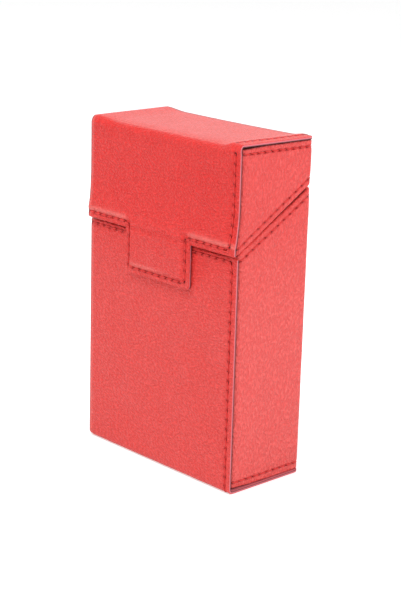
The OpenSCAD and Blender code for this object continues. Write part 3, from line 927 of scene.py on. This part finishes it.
# %% The two wraps
RIM_LIFT = 0.3
wrap_columns = mirrored(steps(0, NOTCH_X, 1.2) + steps(NOTCH_X, SIDE_START, 0.36)
                        + steps(SIDE_START, SIDE_END - 1.6, 1.2) + steps(SIDE_END - 1.6, SIDE_END, 0.4)
                        + steps(SIDE_END, FLANGE_START, 0.2) + steps(FLANGE_START, FLANGE_END, 1.2))
body_wrap = Wrap(True, RIM_Z + RIM_LIFT, RIM_SLOPE - RIM_LIFT / (BACK_Y - WRAP_FRONT_Y), FLOOR_Z, 1.75, 2.15, 48)
lid_wrap = Wrap(False, LIP_Z, LIP_SLOPE, CEILING_Z, 1.85, 1.9, 16)
wrap_pieces = {}
for owner, wrap in (("body", body_wrap), ("lid", lid_wrap)):
    seams = wrap.seams()
    wrap_pieces[owner] = (
        leather_sheet(f"{owner}_side_leather", pattern(wrap_columns, wrap.rows_at, wrap.kept), seams, wrap.place,
                      wrap.height, wrap.inner, shade=wrap.shade),
        stitching(f"{owner}_side_stitches", seams, wrap.place, wrap.height))

# %% [markdown]
# ## The hinge
# Between the two stitched lines across the back, the leather is free to bend. It has been bent so often that it
# stands out in a soft roll. It is a narrow sheet of its own here, on no body, while the strips beside it follow one
# each, and it has enough rows to bend smoothly. A strip of the lining's cloth closes the same gap on the inside.

# %% The hinge
HINGE_X = NOTCH_X - 0.15
HINGE_BULGE, HINGE_EDGE_DEPTH, WRINKLE, CLOTH_WAVE = 0.2, 0.16, 0.03, 0.02
CLOTH_Y = BACK_Y - WALL - 0.03
hinge_rows = steps(HINGE_LOW_Z, HINGE_HIGH_Z, 0.2)


def hinge_height(uv):
    x, z = uv.T
    middle = (HINGE_LOW_Z + HINGE_HIGH_Z) / 2
    t = np.clip(np.abs(z - middle) / (HINGE_HIGH_Z - middle), 0, 1)
    wrinkle = WRINKLE * np.sin(5.5 * z + 0.9 * np.sin(0.45 * x) + 0.3 * x) * (1 - t)
    return (HINGE_BULGE * (1 - t ** 2) - HINGE_EDGE_DEPTH * rise(t, 0.62, 0.38) + wrinkle
            - round_off(HINGE_X - np.abs(x), 0.3))


def hinge_inside(uv):
    return plate(uv, BACK_Y - LEATHER, 1)[0]


hinge_columns = mirrored([HINGE_X - n for n in (0, 0.04, 0.14, 0.3)] + steps(HINGE_X - 0.8, 0, 0.9))
hinge = leather_sheet("hinge_leather_bend", pattern(hinge_columns, lambda u: hinge_rows), [],
                      lambda uv: plate(uv, BACK_Y, 1), hinge_height, hinge_inside)
hinge_cloth = leather_sheet(
    "hinge_lining_bend", pattern(mirrored(steps(HINGE_X, 0, 1.0)), lambda u: hinge_rows), [],
    lambda uv: plate(uv, CLOTH_Y, -1), lambda uv: CLOTH_WAVE * np.sin(4 * uv[:, 1]), hinge_inside)

# %% [markdown]
# ## The linings
# The inside is lined with thin dark cloth, glued to the boards. Each lining is a sleeve with a closed end. It is
# made from rings that follow the rounded rectangle of the cavity: up the outside, over a soft edge at the mouth
# and down the inside. Two flat faces close the ends. A Solidify modifier could thicken a single skin too, but rings
# give the soft edge and the slanted mouth in the same go.

# %% The linings
CORNER_R, CORNER_STEPS, CLOTH_STEP, CLOTH_ROWS = 0.9, 6, 1.5, 20
INNER_FRONT_Y, INNER_BACK_Y = WRAP_FRONT_Y + BOARD, BACK_Y - WALL
SET_BACK, SOFT_EDGE = 0.8, 0.12


def ring_spots(inset):
    """A rounded rectangle at a distance inside the cavity's walls."""
    x1, y0, y1 = CAVITY_X - inset, INNER_FRONT_Y + inset, INNER_BACK_Y - inset
    spots = []
    for cx, cy, start in ((x1, y1, 0), (-x1, y1, 1), (-x1, y0, 2), (x1, y0, 3)):
        sx, sy = math.copysign(1, cx), 1 if cy == y1 else -1
        for k in range(CORNER_STEPS + 1):
            angle = (start + k / CORNER_STEPS) * math.pi / 2
            spots.append((cx - sx * CORNER_R + CORNER_R * math.cos(angle),
                          cy - sy * CORNER_R + CORNER_R * math.sin(angle)))
    full = []
    for a, b in zip(spots, spots[1:] + spots[:1]):
        parts = max(1, round((math.dist(a, b) - 2 * (LINING - inset)) / CLOTH_STEP))
        full += [(a[0] + (b[0] - a[0]) * k / parts, a[1] + (b[1] - a[1]) * k / parts) for k in range(parts)]
    return np.array(full)


def lining_sleeve(name, mouth, end, leans):
    """mouth(y) is the height of the open edge, and end that of the closed one."""
    mesh = bmesh.new()
    layer = mesh.loops.layers.uv.new("leather")
    way = 1 if end < mouth(0) else -1
    outer, inner = ring_spots(0.0), ring_spots(LINING)

    def ring(spots, share, lift, end_z):
        top = np.array([mouth(y) for y in spots[:, 1]]) + way * lift
        z = end_z + (top - end_z) * share
        y = spots[:, 1] - (lean_at(z) * (spots[:, 1] < INNER_FRONT_Y + 1.2) if leans else 0)
        return [mesh.verts.new((a * MM, b * MM, c * MM)) for a, b, c in zip(spots[:, 0], y, z)]

    shares = np.linspace(0, 1, CLOTH_ROWS)
    rings = [ring(outer, s, -SOFT_EDGE, end) for s in shares] + [ring((outer + inner) / 2, 1, 0.0, end)]
    rings += [ring(inner, s, -SOFT_EDGE, end + way * LINING) for s in shares[::-1]]
    skin(mesh, layer, rings, lambda i, j, point: (i * CLOTH_STEP * UV_SCALE, point.z / MM * UV_SCALE))
    for closing in (rings[0], rings[-1]):
        for loop in mesh.faces.new(closing).loops:
            loop[layer].uv = (loop.vert.co.x / MM * UV_SCALE, loop.vert.co.y / MM * UV_SCALE)
    crisp_folds(mesh)
    return new_object(name, mesh)


body_cloth = lining_sleeve(
    "body_lining_cloth",
    lambda y: min(RIM_Z - SET_BACK + RIM_SLOPE * (y - WRAP_FRONT_Y), HINGE_LOW_Z), FLOOR_Z + BOARD, False)
lid_cloth = lining_sleeve(
    "lid_lining_cloth",
    lambda y: max(LIP_Z + SET_BACK + LIP_SLOPE * (y - WRAP_FRONT_Y),
                  HINGE_HIGH_Z if y > INNER_BACK_Y - LINING - 0.3 else 0), CEILING_Z - BOARD, True)

# %% [markdown]
# ## Building with nodes
# A material is a small machine of nodes. These helpers keep its plans short: each value that goes into a node is a
# number, a colour or the output of another node, and is set or linked to match.

# %% Building with nodes
def feed(tree, socket, value):
    if isinstance(value, bpy.types.NodeSocket):
        tree.links.new(value, socket)
    else:
        socket.default_value = (*value, 1) if socket.type == "RGBA" else value


def add(tree, kind, **settings):
    """A node whose settings are its properties or its inputs, by name."""
    made = tree.nodes.new(kind)
    for key, value in settings.items():
        if hasattr(made, key):
            setattr(made, key, value)
        else:
            feed(tree, made.inputs[key.replace("_", " ")], value)
    return made


def maths(tree, operation, *values, kind="ShaderNodeMath", **settings):
    made = add(tree, kind, operation=operation, **settings)
    for socket, value in zip(made.inputs, values):
        if value is not None:
            feed(tree, socket, value)
    return made.outputs[0]


def vectors(tree, operation, *values):
    return maths(tree, operation, *values, kind="ShaderNodeVectorMath")


def remap(tree, value, low, high, to_low=0.0, to_high=1.0):
    return add(tree, "ShaderNodeMapRange", interpolation_type="SMOOTHSTEP", clamp=True, Value=value, From_Min=low,
               From_Max=high, To_Min=to_low, To_Max=to_high).outputs[0]


def noise(tree, place, **settings):
    return add(tree, "ShaderNodeTexNoise", Vector=place, **settings).outputs[0]


def blend_colours(tree, share, a, b):
    made = add(tree, "ShaderNodeMix", data_type="RGBA")
    for number, value in ((0, share), (6, a), (7, b)):
        feed(tree, made.inputs[number], value)
    return made.outputs[2]


def on_pattern(tree):
    """The place on the flat pattern, where 1 stands for 100 mm."""
    return add(tree, "ShaderNodeUVMap", uv_map="leather").outputs[0]


def across_and_along(tree, place):
    return add(tree, "ShaderNodeSeparateXYZ", Vector=place).outputs[:2]


def group(name, inputs, outputs):
    """An empty node group with its sockets: inputs are (name, kind, value), outputs are names of floats."""
    tree = bpy.data.node_groups.new(name, "ShaderNodeTree")
    for label, kind, value in inputs:
        socket = tree.interface.new_socket(name=label, in_out="INPUT", socket_type="NodeSocket" + kind)
        if value is not None:
            socket.default_value = value
    for label in outputs:
        tree.interface.new_socket(name=label, in_out="OUTPUT", socket_type="NodeSocketFloat")
    return tree, tree.nodes.new("NodeGroupInput").outputs, tree.nodes.new("NodeGroupOutput").inputs


print("1 on the pattern map is", round(1 / UV_SCALE), "mm")

# %% [markdown]
# ## Node groups
# Grain, mottling and weave are used by more than one finish, so each is a group of nodes with named inputs and
# outputs, built once. A group gives out only values, colours and masks, and each material puts them to use with
# numbers of its own. All of them read the flat pattern's own coordinates, so the grain bends with the leather.

# %% Node groups
def pebble_group():
    """Grain of pressed leather: cells with soft creases between them, wrinkles over them, and fine pores."""
    tree, given, result = group("pebble_grain", [("Place", "Vector", None), ("Scale", "Float", 130.0),
                                                 ("Stretch", "Vector", (1.0, 1.0, 1.0))], ["Height"])
    sized = vectors(tree, "SCALE", vectors(tree, "MULTIPLY", given["Place"], given["Stretch"]), None, None,
                    given["Scale"])
    wobble = add(tree, "ShaderNodeTexNoise", Vector=sized, Scale=0.9, Detail=3.0, Roughness=0.6).outputs["Color"]
    bent = vectors(tree, "MULTIPLY_ADD", wobble, (1.3, 1.3, 0.0), sized)
    cells = add(tree, "ShaderNodeTexVoronoi", feature="DISTANCE_TO_EDGE", Scale=1.0, Vector=bent).outputs["Distance"]
    wrinkles = noise(tree, sized, Scale=1.15, Detail=2.0, Roughness=0.45, Distortion=0.5)
    pores = noise(tree, sized, Scale=3.4, Detail=3.0, Roughness=0.6)
    height = maths(tree, "MULTIPLY_ADD", remap(tree, wrinkles, 0.32, 0.68), 0.6,
                   maths(tree, "MULTIPLY", remap(tree, cells, 0.0, 0.42), 0.45))
    feed(tree, result["Height"], maths(tree, "MULTIPLY_ADD", pores, 0.25, height))
    return tree


def mottle_group():
    """Slow, uneven change of tone over a hide, from -1 to 1."""
    tree, given, result = group("hide_mottle", [("Place", "Vector", None), ("Scale", "Float", 8.0)], ["Tone"])
    clouds = noise(tree, given["Place"], Scale=given["Scale"], Detail=5.0, Roughness=0.6, Distortion=0.4)
    feed(tree, result["Tone"], remap(tree, clouds, 0.3, 0.7, -1.0, 1.0))
    return tree


def weave_group():
    """Plain weave: threads that pass over and under each other."""
    tree, given, result = group("plain_weave", [("Place", "Vector", None), ("Threads", "Float", 300.0)],
                                ["Height", "Tone"])
    counts = [maths(tree, "MULTIPLY", part, given["Threads"]) for part in across_and_along(tree, given["Place"])]
    warp, weft = [maths(tree, "ABSOLUTE", maths(tree, "SINE", maths(tree, "MULTIPLY", count, math.pi)))
                  for count in counts]
    flat = add(tree, "ShaderNodeCombineXYZ", X=counts[0], Y=counts[1]).outputs[0]
    checks = add(tree, "ShaderNodeTexChecker", Scale=1.0, Vector=flat).outputs["Fac"]
    mix = add(tree, "ShaderNodeMix", data_type="FLOAT")
    for number, value in ((0, checks), (2, warp), (3, weft)):
        feed(tree, mix.inputs[number], value)
    feed(tree, result["Height"], mix.outputs[0])
    feed(tree, result["Tone"], noise(tree, given["Place"], Scale=220.0, Detail=3.0))
    return tree


PEBBLE, MOTTLE, WEAVE = pebble_group(), mottle_group(), weave_group()
print("groups:", [g.name for g in (PEBBLE, MOTTLE, WEAVE)])

# %% [markdown]
# ## The leather's finish
# The leather is dyed and pressed: a saturated red with a satin surface, with darker pressed seams. It starts from
# the dye and lays one change over the other, most of them painted light: the foot is painted lighter for the light
# from the floor, the top is glossier and painted a brighter red for the light on it, the creases of the grain get
# painted shade and its ridges, the bevels and the left edge a painted highlight, and gaps and needle holes painted
# shade. Depth comes from a Bump node, and the roughness changes with the grain, which breaks up the reflections.

# %% The leather's finish
# These three colours are painted light: shade in the needle holes, shade in the gaps, and a highlight on the bevels
# and the left edge
HOLE_SHADE, GAP_SHADE, HIGHLIGHT_RED = (0.15, 0.002, 0.004), (0.06, 0.010, 0.010), (0.88, 0.20, 0.175)
# The top is painted a brighter red, standing in for the light that falls on it
TOP_LIT_RED = (0.95, 0.030, 0.020)
# The grain's creases get painted shade, and its ridges a painted highlight
MOTTLE_SCALE, TONE_SHARE, CREASE_SHADE_SHARE, RIDGE_HIGHLIGHT_SHARE = 9.0, 0.16, 0.42, 0.36
HIGHLIGHT_SHARE, PRESSED_SHARE, SHADE_SHARE, HOLE_SHADE_SHARE = 0.55, 0.22, 0.85, 1.0
COAT, COAT_ON_HEM, COAT_ROUGHNESS = 0.64, 0.3, 0.45
ROUGHNESS, SMOOTHER_RIDGES, UNEVEN_ROUGHNESS = 0.44, -0.12, 0.03
# Where the foot painted lighter by the floor's light ends, the top begins and the hem of the top begins, each from
# one place to another on the map
FOOT_ENDS, TOP_BEGINS, HEM_BEGINS = (0.45, 0.78), (0.955, 0.975), (0.272, 0.282)


def finish(name, **sockets):
    """A material with values on its shader's own sockets."""
    made = bpy.data.materials.new(name)
    made.use_nodes = True
    shader = made.node_tree.nodes["Principled BSDF"]
    for key, value in sockets.items():
        feed(made.node_tree, shader.inputs[key.replace("_", " ")], value)
    return made, made.node_tree, shader


def placed(tree, groups, **settings):
    """A group in a material, fed with the pattern's coordinates."""
    return add(tree, "ShaderNodeGroup", node_tree=groups, Place=on_pattern(tree), **settings).outputs


def mask(tree, name, share):
    return maths(tree, "MULTIPLY", add(tree, "ShaderNodeAttribute", attribute_name=name).outputs["Fac"], share)


def bump(tree, shader, height, strength, depth):
    made = add(tree, "ShaderNodeBump", Strength=strength, Distance=depth * MM, Height=height)
    feed(tree, shader.inputs["Normal"], made.outputs[0])


def leather_finish(name, red, deep, light, floor_lit, grain_scale, stretch, grain_depth):
    made, tree, shader = finish(name, Specular_IOR_Level=0.34, Coat_Roughness=COAT_ROUGHNESS)
    grain = placed(tree, PEBBLE, Scale=grain_scale, Stretch=(1.0, stretch, 1.0))["Height"]
    tone = placed(tree, MOTTLE, Scale=MOTTLE_SCALE)["Tone"]
    across, along = across_and_along(tree, on_pattern(tree))
    on_top = remap(tree, along, *TOP_BEGINS)
    off_hem = remap(tree, across, *HEM_BEGINS, COAT, COAT_ON_HEM)
    feed(tree, shader.inputs["Coat Weight"], maths(tree, "MULTIPLY", on_top, off_hem))
    # The foot is painted lighter, standing in for light from the floor
    colour = blend_colours(tree, remap(tree, along, *FOOT_ENDS), floor_lit, red)
    # Among these, the grain's creases get painted shade and its ridges a painted highlight
    for share, over in (
            (on_top, TOP_LIT_RED),
            (maths(tree, "MULTIPLY_ADD", tone, TONE_SHARE, TONE_SHARE, use_clamp=True), light),
            (remap(tree, grain, 0.25, 1.0, CREASE_SHADE_SHARE, 0.0), deep),
            (remap(tree, grain, 0.75, 1.2, 0.0, RIDGE_HIGHLIGHT_SHARE), light),
            (mask(tree, "worn", HIGHLIGHT_SHARE), HIGHLIGHT_RED),
            (mask(tree, "pressed", PRESSED_SHARE), deep),
            (mask(tree, "shade", SHADE_SHARE), GAP_SHADE),
            (mask(tree, "hole", HOLE_SHADE_SHARE), HOLE_SHADE)):
        colour = blend_colours(tree, share, colour, over)
    feed(tree, shader.inputs["Base Color"], colour)
    rough = maths(tree, "MULTIPLY_ADD", grain, SMOOTHER_RIDGES, ROUGHNESS)
    feed(tree, shader.inputs["Roughness"], maths(tree, "MULTIPLY_ADD", tone, UNEVEN_ROUGHNESS, rough))
    bump(tree, shader, grain, 0.9, grain_depth)
    return made


# The fronts come from a smoother part of the hide than the sides, so their grain is finer and drawn out sideways
front_finish = leather_finish("front_red_leather", (0.78, 0.018, 0.014), (0.50, 0.008, 0.007), (0.84, 0.050, 0.040),
                              (0.82, 0.064, 0.056), 84.0, 1.9, 0.5)
# The sides are a lighter, pinker red than the fronts: partly their own tone, partly painted light for the brighter
# light on them
side_finish = leather_finish("side_red_leather", (0.83, 0.074, 0.068), (0.56, 0.024, 0.022), (0.90, 0.12, 0.108),
                             (0.86, 0.108, 0.098), 125.0, 0.62, 0.42)
print("leather finishes:", front_finish.name, side_finish.name)

# %% [markdown]
# ## Cut edge, thread, cloth, board and metal
# A cut edge shows the leather's plies: a bright dyed skin, a paler middle and a dark inner ply, which is partly
# the glue of the flesh side and partly painted shade of the gap beside the edge. The skirt of every sheet was
# mapped with its depth, so the plies are bands over that depth, frayed by fibres. Thread gets the twist of its
# strands, cloth its weave, board its pulp, and metal the fine lines of a brush. Each is made of nodes and not of a
# picture, which would blur as soon as someone looks closely.

# %% Cut edge, thread, cloth, board and metal
SKIN_ENDS, GLUE_AND_SHADE_BEGINS, FRAY = (0.0046, 0.0060), (0.0066, 0.0076), 0.0022
edge_finish, tree, shader = finish("cut_leather_edge", Roughness=0.9, Specular_IOR_Level=0.15)
place = on_pattern(tree)
fibres = noise(tree, place, Scale=260.0, Detail=5.0, Roughness=0.7)
depth = maths(tree, "MULTIPLY_ADD", fibres, FRAY, across_and_along(tree, place)[1])
# The dark inner ply is partly glue and partly painted shade of the gap beside the edge
plies = blend_colours(tree, remap(tree, depth, *GLUE_AND_SHADE_BEGINS), (0.34, 0.10, 0.115), (0.045, 0.022, 0.02))
plies = blend_colours(tree, remap(tree, depth, *SKIN_ENDS, 1.0, 0.0), plies, (0.70, 0.17, 0.20))
plies = blend_colours(tree, maths(tree, "MULTIPLY", fibres, 0.12), plies, (0.50, 0.22, 0.24))
feed(tree, shader.inputs["Base Color"], plies)
bump(tree, shader, fibres, 0.6, 0.08)

thread_finish, tree, shader = finish("red_thread", Roughness=0.55, Specular_IOR_Level=0.35)
twist = add(tree, "ShaderNodeTexWave", wave_type="BANDS", bands_direction="DIAGONAL", Scale=2.2, Distortion=0.6,
            Vector=on_pattern(tree)).outputs["Fac"]
feed(tree, shader.inputs["Base Color"], blend_colours(tree, twist, (0.62, 0.024, 0.022), (0.74, 0.05, 0.045)))
bump(tree, shader, twist, 0.7, 0.05)

cloth_finish, tree, shader = finish("dark_lining_cloth", Roughness=0.85, Sheen_Weight=0.25)
cloth = placed(tree, WEAVE, Threads=230.0)
dark = blend_colours(tree, cloth["Height"], (0.012, 0.011, 0.012), (0.05, 0.046, 0.048))
lint = maths(tree, "MULTIPLY", cloth["Tone"], 0.3)
feed(tree, shader.inputs["Base Color"], blend_colours(tree, lint, dark, (0.07, 0.065, 0.07)))
bump(tree, shader, cloth["Height"], 0.6, 0.08)

board_finish, tree, shader = finish("grey_board", Roughness=0.9)
pulp = noise(tree, add(tree, "ShaderNodeTexCoord").outputs["Object"], Scale=900.0, Detail=6.0, Roughness=0.7)
feed(tree, shader.inputs["Base Color"], blend_colours(tree, pulp, (0.26, 0.22, 0.17), (0.42, 0.37, 0.30)))
bump(tree, shader, pulp, 0.5, 0.06)


def metal_finish(name, colour, worn, roughness):
    made, tree, shader = finish(name, Metallic=1.0)
    where = add(tree, "ShaderNodeTexCoord").outputs["Object"]
    drawn_out = add(tree, "ShaderNodeMapping", Scale=(60.0, 900.0, 2600.0), Vector=where).outputs[0]
    brushed = noise(tree, drawn_out, Scale=1.0, Detail=6.0, Roughness=0.6)
    feed(tree, shader.inputs["Base Color"], blend_colours(tree, brushed, colour, worn))
    feed(tree, shader.inputs["Roughness"], maths(tree, "MULTIPLY_ADD", brushed, 0.25, roughness - 0.12))
    bump(tree, shader, brushed, 0.25, 0.02)
    return made


steel_finish = metal_finish("brushed_plate", (0.48, 0.49, 0.50), (0.60, 0.60, 0.61), 0.4)
magnet_finish = metal_finish("plated_magnet", (0.62, 0.62, 0.62), (0.50, 0.49, 0.47), 0.25)
print("finishes made:", len(bpy.data.materials))

# %% [markdown]
# ## Bodies
# Every piece now gets its finish, and most ride on the body that carries them. The tab's leather and thread and
# the hinge's leather and cloth get no body: their placement is baked into their points. Each piece also says which
# plain solids it stands for. The boards, the plate and the magnet keep their solids and only get a finish.

# %% Bodies
def dress(piece, finishes, body=None, replaced=()):
    for one in finishes:
        piece.data.materials.append(one)
    if replaced:
        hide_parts(*replaced)
    if body:
        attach(piece, body)


FRONT, SIDES, THREAD, CLOTH = [front_finish, edge_finish], [side_finish, edge_finish], [thread_finish], [cloth_finish]
dress(body_front, FRONT, "body", ["body_front_panel"])
dress(body_front_thread, THREAD, "body")
dress(lid_front, FRONT, "lid", ["lid_front_panel"])
dress(lid_front_thread, THREAD, "lid")
dress(tab, FRONT, None, ["tab_leather", "tab_root"])
dress(tab_thread, THREAD)
dress(tab_back, FRONT, "tab", ["tab_backing"])
for owner, (sheet, thread) in wrap_pieces.items():
    dress(sheet, SIDES, owner, [f"{owner}_wrap"])
    dress(thread, THREAD, owner)
dress(hinge, SIDES, None, ["hinge_leather"])
dress(hinge_cloth, CLOTH + CLOTH, None, ["hinge_lining"])
dress(body_cloth, CLOTH, "body", ["body_lining"])
dress(lid_cloth, CLOTH, "lid", ["lid_lining"])
for piece in (tab, tab_thread):
    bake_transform(piece)
for piece in (hinge, hinge_cloth):
    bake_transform(piece)

for name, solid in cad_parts.items():
    chosen = {"body_strike_plate": steel_finish, "tab_magnet": magnet_finish}.get(name, front_finish)
    if name.endswith("_board"):
        chosen = board_finish
    if "lining" in name:
        chosen = cloth_finish
    solid.data.materials.clear()
    solid.data.materials.append(chosen)

# %% [markdown]
# ## Floor and light
# The case stands on a white floor in soft light. One lamp above the front and one to the right are the strongest. A
# weak one on the left and one low before the front fill up what they leave, so that no hard shadow falls. Large
# lamps give softer shadows than small ones, so all of them are areas. The world is a plain level for the object,
# while the camera sees it as pure white, which the Light Path node tells apart.

# %% Floor and light
WORLD_LEVEL, FLOOR_SIZE, FLOOR_SQUARES, FLOOR_GLOW = 0.55, 3.0, 8, 0.45
AIM = Vector((0, 0, 0.05))


def seen_directly(tree):
    """1 for what the camera, a reflection or glass sees, 0 for light that falls on something."""
    path = add(tree, "ShaderNodeLightPath").outputs
    seen = maths(tree, "MAXIMUM", path["Is Camera Ray"], path["Is Glossy Ray"])
    return maths(tree, "MAXIMUM", seen, path["Is Transmission Ray"])


world = bpy.data.worlds.new("studio")
bpy.context.scene.world = world
world.use_nodes = True
tree = world.node_tree
background = tree.nodes["Background"].inputs
feed(tree, background["Color"], (1, 1, 1))
feed(tree, background["Strength"], maths(tree, "MULTIPLY_ADD", seen_directly(tree), 1.0 - WORLD_LEVEL, WORLD_LEVEL))

floor_mesh = bmesh.new()
bmesh.ops.create_grid(floor_mesh, x_segments=FLOOR_SQUARES, y_segments=FLOOR_SQUARES, size=FLOOR_SIZE)
floor = new_object("floor", floor_mesh)
floor_finish, tree, shader = finish("white_floor", Roughness=0.9, Base_Color=(0.85, 0.85, 0.85),
                                    Emission_Color=(1, 1, 1))
feed(tree, shader.inputs["Emission Strength"], maths(tree, "MULTIPLY", seen_directly(tree), FLOOR_GLOW))
floor.data.materials.append(floor_finish)

for name, watts, size, at in (("top_lamp", 3.4, 0.25, (-0.12, -0.32, 0.80)),
                              ("left_lamp", 0.5, 0.45, (-0.45, -0.55, 0.45)),
                              ("right_lamp", 2.75, 0.3, (0.60, 0.0, 0.46)),
                              ("low_lamp", 1.3, 0.4, (-0.10, -0.60, 0.02))):
    light = bpy.data.lights.new(name, "AREA")
    light.energy, light.size = watts, size
    lamp = bpy.data.objects.new(name, light)
    lamp.location = at
    lamp.rotation_euler = (Vector(at) - AIM).to_track_quat("Z", "Y").to_euler()
    bpy.context.scene.collection.objects.link(lamp)
    print(name, watts, "W")
